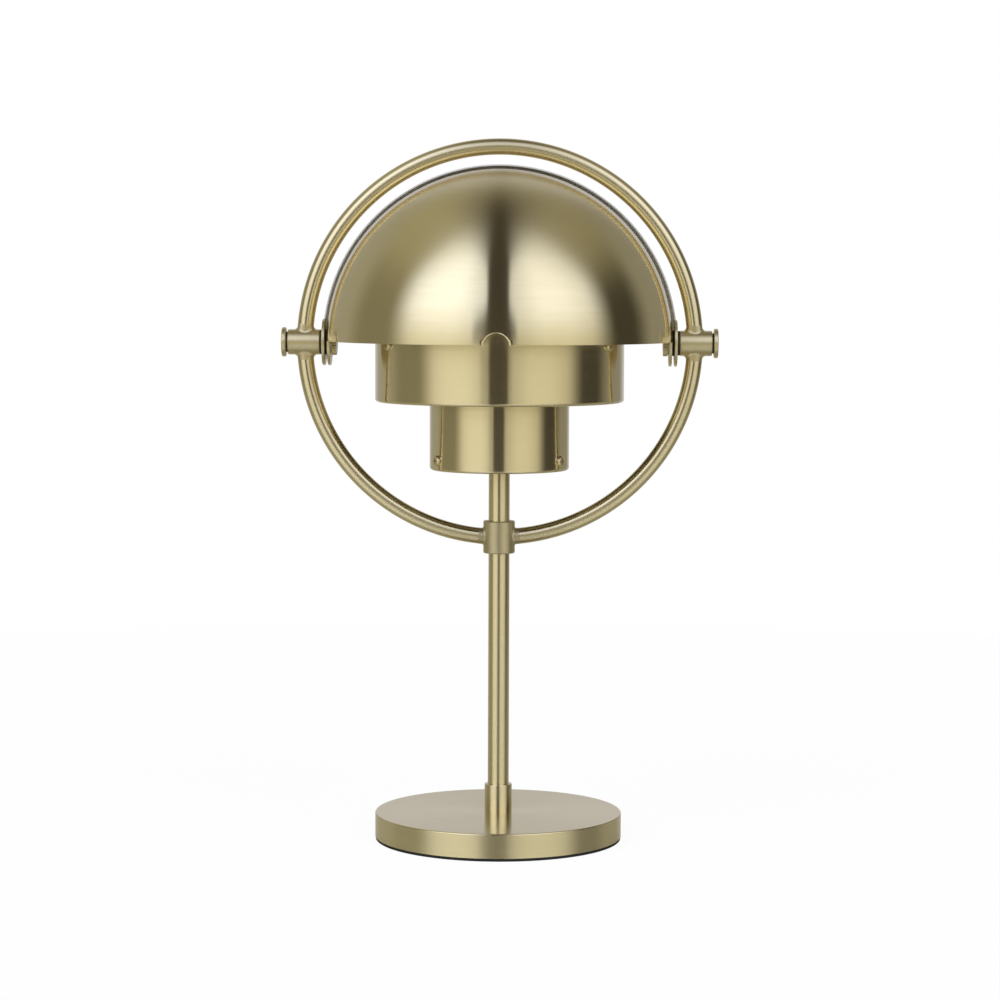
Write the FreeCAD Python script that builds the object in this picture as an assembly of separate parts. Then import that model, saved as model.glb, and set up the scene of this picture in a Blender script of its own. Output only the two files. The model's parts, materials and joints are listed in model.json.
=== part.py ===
"""Dome shade desk lamp: two quarter-sphere shades turn on a ring, round two fixed drums and a bulb.

Millimetres. +Z is up, the front is -Y and the shades' axis lies along X. The origin is the centre of
the face that the lamp stands on. Left and right are as seen from the front.
"""
import FreeCAD, Part
import math
import os

Vector = FreeCAD.Vector
UP = Vector(0, 0, 1)
ALONG_X = Vector(1, 0, 0)
ALONG_Y = Vector(0, 1, 0)
SAME = 1e-6                # lengths closer than this are equal

# ---------------------------------------------------------------- clearances
RUN_GAP = 0.05             # radial, round a pin, thread or sliding tube
AXIAL_GAP = 0.05           # between a turning ear and the washers beside it

# ---------------------------------------------------------------- base
BASE_DIA = 176.6
PAD_THICK = 2.1
PAD_INSET = 0.3            # the pad stands back from the cover's edge
COVER_HEIGHT = 17.2
COVER_WALL = 1.2
COVER_EDGE = 1.0           # rounding of the cover's upper edge
WEIGHT_GAP = 0.4           # between the cast weight and the cover's side
CAVITY_RADIUS = 34.0       # wiring space under the weight
CAVITY_DEPTH = 10.0
CHANNEL_WIDTH = 11.4       # from the wiring space to the cord inlet
CHANNEL_HEIGHT = 13.6
INLET_LIFT = 7.9           # cord inlet's axis above the cover's lower edge
INLET_BORE_RADIUS = 3.3
INLET_BODY_RADIUS = 5.0
INLET_BODY_LENGTH = 8.0
INLET_FLANGE_RADIUS = 6.6
INLET_FLANGE_THICK = 1.6

# ---------------------------------------------------------------- stem
STEM_DIA = 15.0
STEM_WALL = 1.5
FOOT_COLLAR_DIA = 19.5
FOOT_COLLAR_HEIGHT = 20.0
EDGE_BREAK = 0.5           # small chamfer on turned brass ends
NIPPLE_RADIUS = 5.0        # M10 hollow thread
NIPPLE_BORE_RADIUS = 3.9
BUSH_LENGTH = 14.0
FOOT_WASHER_RADIUS = 10.5
FOOT_WASHER_THICK = 1.2
FOOT_NUT_FLATS = 17.0
FOOT_NUT_THICK = 4.0
NIPPLE_TAIL = 0.5          # thread showing past the foot nut

# ---------------------------------------------------------------- wiring
WIRE_RADIUS = 1.1
WIRE_PITCH_RADIUS = 1.8    # the three wires' circle in the stem
WIRE_BEND = 4.0
WIRE_FLOOR_GAP = 1.4       # below the bent wires, above the pad
WIRE_FAN_ANGLE = 14.0
BLOCK_LENGTH = 16.0
BLOCK_WIDTH = 20.0
BLOCK_HEIGHT = 9.0
BLOCK_OFFSET = 14.0        # from the stem's axis to the block's near face
BLOCK_SCREW_PITCH = 6.0
BLOCK_SCREW_RADIUS = 1.6
BLOCK_SCREW_DEPTH = 4.0
BLOCK_SCREW_SLOT = 0.7

# ---------------------------------------------------------------- shades
PIVOT_HEIGHT = 355.8       # the shades' axis above the table
FRONT_SHADE_RADIUS = 123.0 # outside of the inner shade
SHADE_WALL = 1.0
SHADE_GAP = 2.0            # between the two shades
RIM_RISE = 1.0             # the lower rim stands above the axis
NOTCH_RADIUS = 9.0         # clears the stem when a shade is turned right down
EAR_RADIUS = 16.5
EAR_THICK = 2.0
EAR_EDGE = 0.5
EAR_OFFSET = 0.43          # an ear sits this far off its shell's edge, away from the other shade

# ---------------------------------------------------------------- ring
RING_TUBE_DIA = 11.5
RING_WALL = 1.2
RING_COLLAR_DIA = 22.5
RING_COLLAR_HEIGHT = 23.0
RING_COLLAR_GAP = 1.0      # between the ring collar's top and the turning rear shade
RING_COLLAR_FILLET = 1.2
SPIGOT_LENGTH = 3.5        # solid neck past the collar or boss, where the tube is brazed on
GRUB_RADIUS = 2.0
GRUB_SOCKET_RADIUS = 1.0
GRUB_SOCKET_DEPTH = 2.0

# ---------------------------------------------------------------- pivots
BOSS_RADIUS = 9.0
BOSS_OVERHANG = 6.35       # the boss's outer end past the ring's tube
BOSS_FILLET = 2.5
BOSS_WASHER_THICK = 1.9
BOSS_WASHER_RADIUS = 8.7
EAR_WASHER_RADIUS = 9.0
SPRING_WASHER_THICK = 0.8
SPRING_WASHER_RADIUS = 8.2
NUT_RADIUS = 9.25
NUT_THICK = 3.2
NUT_TEETH = 32
NUT_TOOTH_DEPTH = 0.45
BOLT_RADIUS = 3.0          # M6
KNOB_WASHER_RADIUS = 7.2
KNOB_WASHER_THICK = 1.3
KNOB_RADIUS = 10.5
KNOB_THICK = 3.0
KNOB_EDGE = 1.0
KNOB_SOCKET = 2.0          # depth of the bolt's thread in the knob

# ---------------------------------------------------------------- drums
WIDE_DRUM_RADIUS = 88.45
WIDE_DRUM_HEIGHT = 83.8
NARROW_DRUM_RADIUS = 49.65
NARROW_DRUM_HEIGHT = 180.8
DRUM_WALL = 1.0
DRUM_EDGE = 2.0            # outside radius of the rolled edges
DRUM_LIP = 1.2             # flat lip inside the rolled edge
WIDE_SCREW_DROP = 1.0      # the wide drum's screws sit this far under its middle
NARROW_SCREW_LIFT = 7.6    # the narrow drum's screws above its lower edge
SCREW_AZIMUTHS = (60.0, 180.0, 300.0)  # from the front

SCREW_RADIUS = 2.0         # M4
SCREW_HEAD_RADIUS = 3.8
SCREW_HEAD_HEIGHT = 2.2
SCREW_HEAD_EDGE = 1.1
SCREW_LENGTH = 7.0
RECESS_LENGTH = 4.4
RECESS_WIDTH = 0.9
RECESS_DEPTH = 1.1

SPACER_RADIUS = 3.5
SPACER_THREAD_DEPTH = 8.0

CARRIER_LIFT = 13.6        # the carrier's underside above the narrow drum's lower edge
CARRIER_THICK = 2.0
CARRIER_HUB_RADIUS = 13.0
CARRIER_ARM_WIDTH = 10.0
CARRIER_TAB_DROP = 11.0
CARRIER_NUT_FLATS = 14.0
CARRIER_NUT_THICK = 3.0

# ---------------------------------------------------------------- lampholder and bulb
HOLDER_RADIUS = 19.5
HOLDER_WALL = 1.6
HOLDER_CAP_HEIGHT = 20.0
HOLDER_SHELL_HEIGHT = 34.0
HOLDER_SHELL_LIP = 1.0
CORE_HEIGHT = 14.0
CORE_SINK = 6.0            # the core's foot below the top of the cap
CORE_GAP = 0.3
SLEEVE_WALL = 0.6
CONTACT_THICK = 1.0
CONTACT_RADIUS = 5.0
BULB_CAP_RADIUS = 13.2     # E27
BULB_CAP_HEIGHT = 24.0
BULB_THREAD_DEPTH = 0.7
BULB_THREAD_PITCH = 3.6
BULB_GLOBE_RADIUS = 30.0
BULB_LENGTH = 106.0
BULB_GLASS_WALL = 1.0
BULB_GLASS_LAP = 0.2       # the glass stands inside the cap's edge

# ---------------------------------------------------------------- worked-out sizes
BASE_RADIUS = BASE_DIA / 2
COVER_TOP = PAD_THICK + COVER_HEIGHT
CAVITY_ROOF = PAD_THICK + CAVITY_DEPTH
STEM_RADIUS = STEM_DIA / 2
STEM_BORE_RADIUS = STEM_RADIUS - STEM_WALL

REAR_SHADE_RADIUS = FRONT_SHADE_RADIUS + SHADE_GAP + SHADE_WALL
RING_RADIUS = REAR_SHADE_RADIUS + RING_COLLAR_GAP + RING_COLLAR_HEIGHT / 2
RING_TUBE_RADIUS = RING_TUBE_DIA / 2
RING_BOTTOM = PIVOT_HEIGHT - RING_RADIUS


def ear_middle(shade_radius, offset):
    """Distance along X of an ear's middle plane, from the shell's edge that it is brazed into."""
    middle_radius = shade_radius - SHADE_WALL / 2
    return math.sqrt(middle_radius ** 2 - EAR_RADIUS ** 2) + offset


FRONT_EAR_OUT = ear_middle(FRONT_SHADE_RADIUS, -EAR_OFFSET) + EAR_THICK / 2
REAR_EAR_OUT = ear_middle(REAR_SHADE_RADIUS, EAR_OFFSET) + EAR_THICK / 2
FRONT_EAR_IN = FRONT_EAR_OUT - EAR_THICK
REAR_EAR_IN = REAR_EAR_OUT - EAR_THICK
SPRING_WASHER_OUT = FRONT_EAR_IN - AXIAL_GAP
NUT_OUT = SPRING_WASHER_OUT - SPRING_WASHER_THICK
NUT_IN = NUT_OUT - NUT_THICK
BOSS_IN = REAR_EAR_OUT + AXIAL_GAP + BOSS_WASHER_THICK
BOSS_OUT = RING_RADIUS + RING_TUBE_RADIUS + BOSS_OVERHANG
KNOB_IN = BOSS_OUT + KNOB_WASHER_THICK
KNOB_OUT = KNOB_IN + KNOB_THICK

NARROW_DRUM_BOTTOM = PIVOT_HEIGHT - NARROW_DRUM_HEIGHT / 2
NARROW_BORE_RADIUS = NARROW_DRUM_RADIUS - DRUM_WALL
WIDE_BORE_RADIUS = WIDE_DRUM_RADIUS - DRUM_WALL
WIDE_SCREW_HEIGHT = PIVOT_HEIGHT - WIDE_SCREW_DROP
NARROW_SCREW_HEIGHT = NARROW_DRUM_BOTTOM + NARROW_SCREW_LIFT
STEM_TOP = NARROW_DRUM_BOTTOM + CARRIER_LIFT
CARRIER_TOP = STEM_TOP + CARRIER_THICK
HOLDER_BOTTOM = CARRIER_TOP + CARRIER_NUT_THICK
HOLDER_CAP_TOP = HOLDER_BOTTOM + HOLDER_CAP_HEIGHT
HOLDER_TOP = HOLDER_CAP_TOP + HOLDER_SHELL_HEIGHT
CORE_BOTTOM = HOLDER_CAP_TOP - CORE_SINK
CORE_TOP = CORE_BOTTOM + CORE_HEIGHT
BULB_BOTTOM = CORE_TOP + CONTACT_THICK
BULB_CAP_TOP = BULB_BOTTOM + BULB_CAP_HEIGHT
BULB_GLOBE_CENTRE = BULB_BOTTOM + BULB_LENGTH - BULB_GLOBE_RADIUS


# ---------------------------------------------------------------- shape helpers
def rod_z(radius, low, high, x=0.0, y=0.0):
    """Upright cylinder between two heights."""
    return Part.makeCylinder(radius, high - low, Vector(x, y, low), UP)


def tube_z(outer, inner, low, high):
    """Upright tube between two heights."""
    return rod_z(outer, low, high).cut(rod_z(inner, low, high))


def rod_x(radius, low, high):
    """Cylinder on the shades' axis between two distances to the right."""
    return Part.makeCylinder(radius, high - low, Vector(low, 0, PIVOT_HEIGHT), ALONG_X)


def tube_x(outer, inner, low, high):
    """Tube on the shades' axis between two distances to the right."""
    return rod_x(outer, low, high).cut(rod_x(inner, low, high))


def hexagon_z(flats, low, high, bore):
    """Hexagon nut on the stem's axis, with its bore."""
    corner = flats / math.sqrt(3)
    angles = [math.radians(60 * step) for step in range(7)]
    points = [Vector(corner * math.cos(a), corner * math.sin(a), low) for a in angles]
    nut = Part.Face(Part.makePolygon(points)).extrude(Vector(0, 0, high - low))
    return nut.cut(rod_z(bore, low, high))


def turned_z(edges):
    """Solid of revolution about Z of a closed outline in the XZ plane."""
    face = Part.Face(Part.Wire(edges))
    return face.revolve(Vector(0, 0, 0), UP, 360)


def line(start, end):
    """Straight edge between two (radius, height) points."""
    return Part.LineSegment(Vector(start[0], 0, start[1]), Vector(end[0], 0, end[1])).toShape()


def corner_arc(centre, radius, first, last):
    """Arc in the XZ plane about a (radius, height) centre, between two angles in degrees."""
    points = []
    for angle in (first, (first + last) / 2, last):
        turn = math.radians(angle)
        points.append(Vector(centre[0] + radius * math.cos(turn), 0, centre[1] + radius * math.sin(turn)))
    return Part.Arc(*points).toShape()


def closed(points):
    """Closed straight-sided outline through (radius, height) points."""
    return [line(start, end) for start, end in zip(points, points[1:] + points[:1])]


def edges_at(shape, radius, height):
    """Circular edges about Z of one radius at one height."""
    found = []
    for edge in shape.Edges:
        curve = edge.Curve
        if not isinstance(curve, Part.Circle):
            continue
        if abs(curve.Radius - radius) < SAME and abs(curve.Center.z - height) < SAME:
            found.append(edge)
    return found


def rim_edges_x(shape, radius, positions):
    """Circular edges about the shades' axis of one radius at the given distances."""
    found = []
    for edge in shape.Edges:
        curve = edge.Curve
        if not isinstance(curve, Part.Circle) or abs(curve.Radius - radius) > SAME:
            continue
        if any(abs(curve.Center.x - x) < SAME for x in positions):
            found.append(edge)
    return found


def radially(shape, azimuth):
    """Turn a shape that was made along +X to an azimuth, which is measured from the front."""
    turned = shape.copy()
    turned.rotate(Vector(0, 0, 0), UP, azimuth - 90)
    return turned


def one_each_side(shape):
    """A shape on the right and its mirror image on the left."""
    return Part.Compound([mirrored(shape), shape])


def mirrored(shape):
    """Mirror image across the lamp's middle plane."""
    return shape.mirror(Vector(0, 0, 0), ALONG_X)


def save(node, shape):
    """Write one sub-part."""
    shape.exportStep("parts/" + node + ".step")


# ---------------------------------------------------------------- base
def base_pad():
    """Thin pad that the lamp stands on."""
    return rod_z(BASE_RADIUS - PAD_INSET, 0, PAD_THICK)


def inlet_rod(radius, start, end):
    """Cylinder along Y on the cord inlet's axis."""
    height = PAD_THICK + INLET_LIFT
    return Part.makeCylinder(radius, end - start, Vector(0, start, height), ALONG_Y)


def base_cover():
    """Spun cover, open underneath, with the stem's hole and the cord inlet's hole."""
    cover = rod_z(BASE_RADIUS, PAD_THICK, COVER_TOP)
    cover = cover.makeFillet(COVER_EDGE, edges_at(cover, BASE_RADIUS, COVER_TOP))
    cover = cover.cut(rod_z(BASE_RADIUS - COVER_WALL, PAD_THICK, COVER_TOP - COVER_WALL))
    cover = cover.cut(rod_z(NIPPLE_RADIUS + RUN_GAP, PAD_THICK, COVER_TOP))
    return cover.cut(inlet_rod(INLET_BODY_RADIUS + RUN_GAP, 0, BASE_RADIUS))


def base_weight():
    """Cast disc under the cover, with the wiring space and its channel to the cord inlet."""
    top = COVER_TOP - COVER_WALL
    radius = BASE_RADIUS - COVER_WALL - WEIGHT_GAP
    weight = rod_z(radius, PAD_THICK, top)
    weight = weight.cut(rod_z(CAVITY_RADIUS, PAD_THICK, CAVITY_ROOF))
    start = CAVITY_RADIUS - CHANNEL_WIDTH / 2
    corner = Vector(-CHANNEL_WIDTH / 2, start, PAD_THICK)
    channel = Part.makeBox(CHANNEL_WIDTH, BASE_RADIUS - start, CHANNEL_HEIGHT, corner)
    weight = weight.cut(channel)
    weight = weight.cut(rod_z(NIPPLE_RADIUS + RUN_GAP, CAVITY_ROOF, top))
    for screw in block_screw_rods(BLOCK_SCREW_RADIUS + RUN_GAP):
        weight = weight.cut(screw)
    return weight


def cord_inlet_bush():
    """Insulating bush in the base's rear wall, with a flange outside."""
    bush = inlet_rod(INLET_BODY_RADIUS, BASE_RADIUS - INLET_BODY_LENGTH, BASE_RADIUS)
    bush = bush.common(rod_z(BASE_RADIUS, 0, COVER_TOP))
    outside = BASE_RADIUS + INLET_FLANGE_THICK
    flange = inlet_rod(INLET_FLANGE_RADIUS, BASE_RADIUS - INLET_FLANGE_THICK, outside)
    bush = bush.fuse(flange.cut(rod_z(BASE_RADIUS, 0, COVER_TOP))).removeSplitter()
    return bush.cut(inlet_rod(INLET_BORE_RADIUS, 0, outside))


def block_screw_rods(radius):
    """The terminal block's two fixing screws as plain rods, up into the weight."""
    middle = BLOCK_OFFSET + BLOCK_LENGTH / 2
    low = CAVITY_ROOF - BLOCK_HEIGHT
    high = CAVITY_ROOF + BLOCK_SCREW_DEPTH
    return [rod_z(radius, low, high, middle, side * BLOCK_SCREW_PITCH) for side in (-1, 1)]


def terminal_block():
    """Insulating block under the wiring space's roof, where the mains lead meets the wires."""
    corner = Vector(BLOCK_OFFSET, -BLOCK_WIDTH / 2, CAVITY_ROOF - BLOCK_HEIGHT)
    block = Part.makeBox(BLOCK_LENGTH, BLOCK_WIDTH, BLOCK_HEIGHT, corner)
    for screw in block_screw_rods(BLOCK_SCREW_RADIUS + RUN_GAP):
        block = block.cut(screw)
    return block


def terminal_screws():
    """Slotted screws that hold the terminal block to the weight."""
    low = CAVITY_ROOF - BLOCK_HEIGHT
    middle = BLOCK_OFFSET + BLOCK_LENGTH / 2
    screws = []
    for screw in block_screw_rods(BLOCK_SCREW_RADIUS):
        corner = Vector(middle - BLOCK_SCREW_RADIUS, screw.CenterOfMass.y - BLOCK_SCREW_SLOT / 2, low)
        slot = Part.makeBox(2 * BLOCK_SCREW_RADIUS, BLOCK_SCREW_SLOT, BLOCK_SCREW_SLOT, corner)
        screws.append(screw.cut(slot))
    return Part.Compound(screws)


# ---------------------------------------------------------------- stem and its fixings
def stem_tube():
    """Upright tube from the base to the drum carrier."""
    return tube_z(STEM_RADIUS, STEM_BORE_RADIUS, COVER_TOP, STEM_TOP)


def base_collar():
    """Sleeve round the stem's foot."""
    top = COVER_TOP + FOOT_COLLAR_HEIGHT
    collar = tube_z(FOOT_COLLAR_DIA / 2, STEM_RADIUS + RUN_GAP, COVER_TOP, top)
    return collar.makeChamfer(EDGE_BREAK, edges_at(collar, FOOT_COLLAR_DIA / 2, top))


def threaded_bush(low, high):
    """Bush brazed into an end of the stem, threaded for a nipple."""
    return tube_z(STEM_BORE_RADIUS - RUN_GAP, NIPPLE_RADIUS + RUN_GAP, low, high)


def foot_washer():
    """Wide washer under the weight's middle."""
    return tube_z(FOOT_WASHER_RADIUS, NIPPLE_RADIUS + RUN_GAP, CAVITY_ROOF - FOOT_WASHER_THICK, CAVITY_ROOF)


def foot_nut():
    """Nut that pulls the stem, collar, cover and weight together."""
    top = CAVITY_ROOF - FOOT_WASHER_THICK
    return hexagon_z(FOOT_NUT_FLATS, top - FOOT_NUT_THICK, top, NIPPLE_RADIUS + RUN_GAP)


def foot_nipple():
    """Hollow thread from the foot nut up into the foot bush."""
    low = CAVITY_ROOF - FOOT_WASHER_THICK - FOOT_NUT_THICK - NIPPLE_TAIL
    return tube_z(NIPPLE_RADIUS, NIPPLE_BORE_RADIUS, low, COVER_TOP + BUSH_LENGTH)


def top_nipple():
    """Hollow thread from the top bush, through the carrier, into the lampholder's cap."""
    return tube_z(NIPPLE_RADIUS, NIPPLE_BORE_RADIUS, STEM_TOP - BUSH_LENGTH, HOLDER_BOTTOM + HOLDER_WALL)


def internal_wires():
    """Three wires from the terminal block up the stem to the lampholder's core."""
    floor = PAD_THICK + WIRE_FLOOR_GAP + WIRE_RADIUS
    knee = floor + WIRE_BEND
    block = terminal_block()
    wires = []
    for step in (-1, 0, 1):
        start_turn = math.radians(120 * step)
        x = WIRE_PITCH_RADIUS * math.cos(start_turn)
        y = WIRE_PITCH_RADIUS * math.sin(start_turn)
        fan = math.radians(WIRE_FAN_ANGLE * step)
        out = Vector(math.cos(fan), math.sin(fan), 0)
        top = Vector(x, y, CORE_BOTTOM)
        bend_start = Vector(x, y, knee)
        bend_end = Vector(x, y, floor) + out * WIRE_BEND
        lift = WIRE_BEND * (1 - math.sqrt(0.5))
        bend_middle = Vector(x, y, floor + lift) + out * lift
        end = bend_end + out * BLOCK_OFFSET
        path = Part.Wire([
            Part.LineSegment(top, bend_start).toShape(),
            Part.Arc(bend_start, bend_middle, bend_end).toShape(),
            Part.LineSegment(bend_end, end).toShape(),
        ])
        section = Part.Wire(Part.makeCircle(WIRE_RADIUS, top, UP))
        wires.append(path.makePipeShell([section], True, True).cut(block_reach(block)))
    return Part.Compound(wires)


def block_reach(block):
    """The terminal block's box, run on past its far face, to end the wires at its near face."""
    box = block.BoundBox
    corner = Vector(box.XMin, -CAVITY_RADIUS, PAD_THICK)
    return Part.makeBox(CAVITY_RADIUS, 2 * CAVITY_RADIUS, CAVITY_DEPTH, corner)


# ---------------------------------------------------------------- ring
def ring_tube(first, last, outer, inner):
    """Length of the ring's tube between two angles, in degrees from +X towards +Z."""
    start = math.radians(first)
    centre = Vector(RING_RADIUS * math.cos(start), 0, PIVOT_HEIGHT + RING_RADIUS * math.sin(start))
    along = Vector(-math.sin(start), 0, math.cos(start))
    wires = [Part.Wire(Part.makeCircle(outer, centre, along))]
    if inner:
        wires.append(Part.Wire(Part.makeCircle(inner, centre, along)))
    face = Part.Face(wires)
    return face.revolve(Vector(0, 0, PIVOT_HEIGHT), Vector(0, -1, 0), last - first)


def spigot_angle(half_width):
    """Half of the angle that a boss or collar and its two solid necks take up on the ring."""
    return math.degrees((half_width + SPIGOT_LENGTH) / RING_RADIUS)


BOSS_ANGLE = spigot_angle(BOSS_RADIUS)
COLLAR_ANGLE = spigot_angle(RING_COLLAR_DIA / 2)


def hollow_ring(first, last):
    """Hollow length of the ring."""
    return ring_tube(first, last, RING_TUBE_RADIUS, RING_TUBE_RADIUS - RING_WALL)


def neck_edges(shape, centre, reach):
    """Edges where a ring neck meets a cylinder: neither straight nor plain circles."""
    found = []
    for edge in shape.Edges:
        if isinstance(edge.Curve, (Part.Line, Part.Circle)):
            continue
        if edge.CenterOfMass.distanceToPoint(centre) < reach:
            found.append(edge)
    return found


def pivot_boss():
    """Right-hand boss with its two necks, bored for the pivot bolt."""
    boss = rod_x(BOSS_RADIUS, BOSS_IN, BOSS_OUT)
    boss = boss.makeChamfer(EDGE_BREAK, rim_edges_x(boss, BOSS_RADIUS, (BOSS_IN, BOSS_OUT)))
    boss = boss.fuse(ring_tube(-BOSS_ANGLE, BOSS_ANGLE, RING_TUBE_RADIUS, 0))
    centre = Vector(RING_RADIUS, 0, PIVOT_HEIGHT)
    boss = boss.makeFillet(BOSS_FILLET, neck_edges(boss, centre, BOSS_RADIUS + SPIGOT_LENGTH))
    return boss.cut(rod_x(BOLT_RADIUS + RUN_GAP, BOSS_IN, BOSS_OUT))


def ring_collar():
    """Collar on the stem with its two necks, bored for the stem and the grub screw."""
    low = RING_BOTTOM - RING_COLLAR_HEIGHT / 2
    high = RING_BOTTOM + RING_COLLAR_HEIGHT / 2
    radius = RING_COLLAR_DIA / 2
    collar = rod_z(radius, low, high)
    rims = edges_at(collar, radius, low) + edges_at(collar, radius, high)
    collar = collar.makeChamfer(EDGE_BREAK, rims)
    collar = collar.fuse(ring_tube(270 - COLLAR_ANGLE, 270 + COLLAR_ANGLE, RING_TUBE_RADIUS, 0))
    centre = Vector(0, 0, RING_BOTTOM)
    collar = collar.makeFillet(RING_COLLAR_FILLET, neck_edges(collar, centre, radius + SPIGOT_LENGTH))
    collar = collar.cut(rod_z(STEM_RADIUS + RUN_GAP, low, high))
    return collar.cut(grub_rod(GRUB_RADIUS + RUN_GAP))


def grub_rod(radius):
    """Plain rod on the grub screw's axis, from the stem's face to the collar's rear face."""
    start = Vector(0, STEM_RADIUS, RING_BOTTOM)
    return Part.makeCylinder(radius, RING_COLLAR_DIA / 2 - STEM_RADIUS, start, ALONG_Y)


def collar_grub_screw():
    """Socket grub screw that locks the ring collar on the stem."""
    outer = RING_COLLAR_DIA / 2
    socket_start = Vector(0, outer - GRUB_SOCKET_DEPTH, RING_BOTTOM)
    socket = Part.makeCylinder(GRUB_SOCKET_RADIUS, GRUB_SOCKET_DEPTH, socket_start, ALONG_Y)
    inside = rod_z(outer, RING_BOTTOM - GRUB_RADIUS, RING_BOTTOM + GRUB_RADIUS)
    return grub_rod(GRUB_RADIUS).common(inside).cut(socket)


# ---------------------------------------------------------------- pivots, right-hand side
def pivot_washer(radius, low, high):
    """Flat washer on the pivot bolt."""
    return tube_x(radius, BOLT_RADIUS + RUN_GAP, low, high)


def pivot_bolt():
    """Threaded pin from the knurled nut out into the knob."""
    return rod_x(BOLT_RADIUS, NUT_IN, KNOB_IN + KNOB_SOCKET)


def pivot_knob():
    """Round flat knob on the pivot bolt's outer end."""
    knob = rod_x(KNOB_RADIUS, KNOB_IN, KNOB_OUT)
    knob = knob.makeFillet(KNOB_EDGE, rim_edges_x(knob, KNOB_RADIUS, (KNOB_IN, KNOB_OUT)))
    return knob.cut(rod_x(BOLT_RADIUS + RUN_GAP, KNOB_IN, KNOB_IN + KNOB_SOCKET))


def knurled_nut():
    """Finger nut with a toothed rim."""
    points = []
    for step in range(2 * NUT_TEETH + 1):
        turn = math.pi * step / NUT_TEETH
        radius = NUT_RADIUS - NUT_TOOTH_DEPTH * (step % 2)
        points.append(Vector(NUT_IN, radius * math.sin(turn), PIVOT_HEIGHT + radius * math.cos(turn)))
    nut = Part.Face(Part.makePolygon(points)).extrude(Vector(NUT_THICK, 0, 0))
    return nut.cut(rod_x(BOLT_RADIUS + RUN_GAP, NUT_IN, NUT_OUT))


# ---------------------------------------------------------------- shades
def quarter_shell(outer):
    """Quarter-sphere shell over the front, with its flattened ends left open for the ears."""
    inner = outer - SHADE_WALL
    outer_end = math.sqrt(outer ** 2 - EAR_RADIUS ** 2)
    inner_end = math.sqrt(inner ** 2 - EAR_RADIUS ** 2)
    outline = Part.Wire([
        shell_arc(outer, outer_end),
        shell_line(outer_end, inner_end),
        shell_arc(inner, inner_end),
        shell_line(-inner_end, -outer_end),
    ])
    shell = Part.Face(outline).revolve(Vector(0, 0, PIVOT_HEIGHT), Vector(-1, 0, 0), 90)
    below = Part.makeBox(2 * outer, outer, RIM_RISE, Vector(-outer, -outer, PIVOT_HEIGHT))
    notch = Part.makeCylinder(NOTCH_RADIUS, outer, Vector(0, -outer, PIVOT_HEIGHT), ALONG_Y)
    return shell.cut(below).cut(notch)


def shell_arc(radius, end):
    """Arc in the horizontal plane of the axis, from one ear to the other past the front."""
    left = Vector(-end, -EAR_RADIUS, PIVOT_HEIGHT)
    front = Vector(0, -radius, PIVOT_HEIGHT)
    right = Vector(end, -EAR_RADIUS, PIVOT_HEIGHT)
    return Part.Arc(left, front, right).toShape()


def shell_line(start, end):
    """Short edge across the shell's wall beside an ear."""
    first = Vector(start, -EAR_RADIUS, PIVOT_HEIGHT)
    last = Vector(end, -EAR_RADIUS, PIVOT_HEIGHT)
    return Part.LineSegment(first, last).toShape()


def rear_shell(outer):
    """The front quarter shell turned round to the back."""
    shell = quarter_shell(outer)
    shell.rotate(Vector(0, 0, 0), UP, 180)
    return shell


def shade_ear(low, high):
    """Flat disc at the right-hand end of a shade, bored to turn on the pivot bolt."""
    ear = rod_x(EAR_RADIUS, low, high)
    ear = ear.makeChamfer(EAR_EDGE, rim_edges_x(ear, EAR_RADIUS, (low, high)))
    return ear.cut(rod_x(BOLT_RADIUS + RUN_GAP, low, high))


# ---------------------------------------------------------------- drums
def drum(radius, height, screw_height):
    """Open drum with rolled edges and three screw holes."""
    low = PIVOT_HEIGHT - height / 2
    high = PIVOT_HEIGHT + height / 2
    core = radius - DRUM_EDGE
    inner_edge = DRUM_EDGE - DRUM_WALL
    bore = radius - DRUM_WALL
    lip = core - DRUM_LIP
    edges = [
        line((radius, low + DRUM_EDGE), (radius, high - DRUM_EDGE)),
        corner_arc((core, high - DRUM_EDGE), DRUM_EDGE, 0, 90),
        line((core, high), (lip, high)),
        line((lip, high), (lip, high - DRUM_WALL)),
        line((lip, high - DRUM_WALL), (core, high - DRUM_WALL)),
        corner_arc((core, high - DRUM_EDGE), inner_edge, 90, 0),
        line((bore, high - DRUM_EDGE), (bore, low + DRUM_EDGE)),
        corner_arc((core, low + DRUM_EDGE), inner_edge, 0, -90),
        line((core, low + DRUM_WALL), (lip, low + DRUM_WALL)),
        line((lip, low + DRUM_WALL), (lip, low)),
        line((lip, low), (core, low)),
        corner_arc((core, low + DRUM_EDGE), DRUM_EDGE, -90, 0),
    ]
    return cut_screw_holes(turned_z(edges), screw_height, radius)


def cut_screw_holes(shape, height, reach):
    """Cut the three radial screw holes at one height."""
    hole = Part.makeCylinder(SCREW_RADIUS + RUN_GAP, reach, Vector(0, 0, height), ALONG_X)
    for azimuth in SCREW_AZIMUTHS:
        shape = shape.cut(radially(hole, azimuth))
    return shape


def narrow_drum():
    """Narrow drum, drilled for the carrier's screws and the spacers' screws."""
    shape = drum(NARROW_DRUM_RADIUS, NARROW_DRUM_HEIGHT, NARROW_SCREW_HEIGHT)
    return cut_screw_holes(shape, WIDE_SCREW_HEIGHT, NARROW_DRUM_RADIUS)


def wide_drum():
    """Wide drum, drilled for the spacers' screws."""
    return drum(WIDE_DRUM_RADIUS, WIDE_DRUM_HEIGHT, WIDE_SCREW_HEIGHT)


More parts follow.
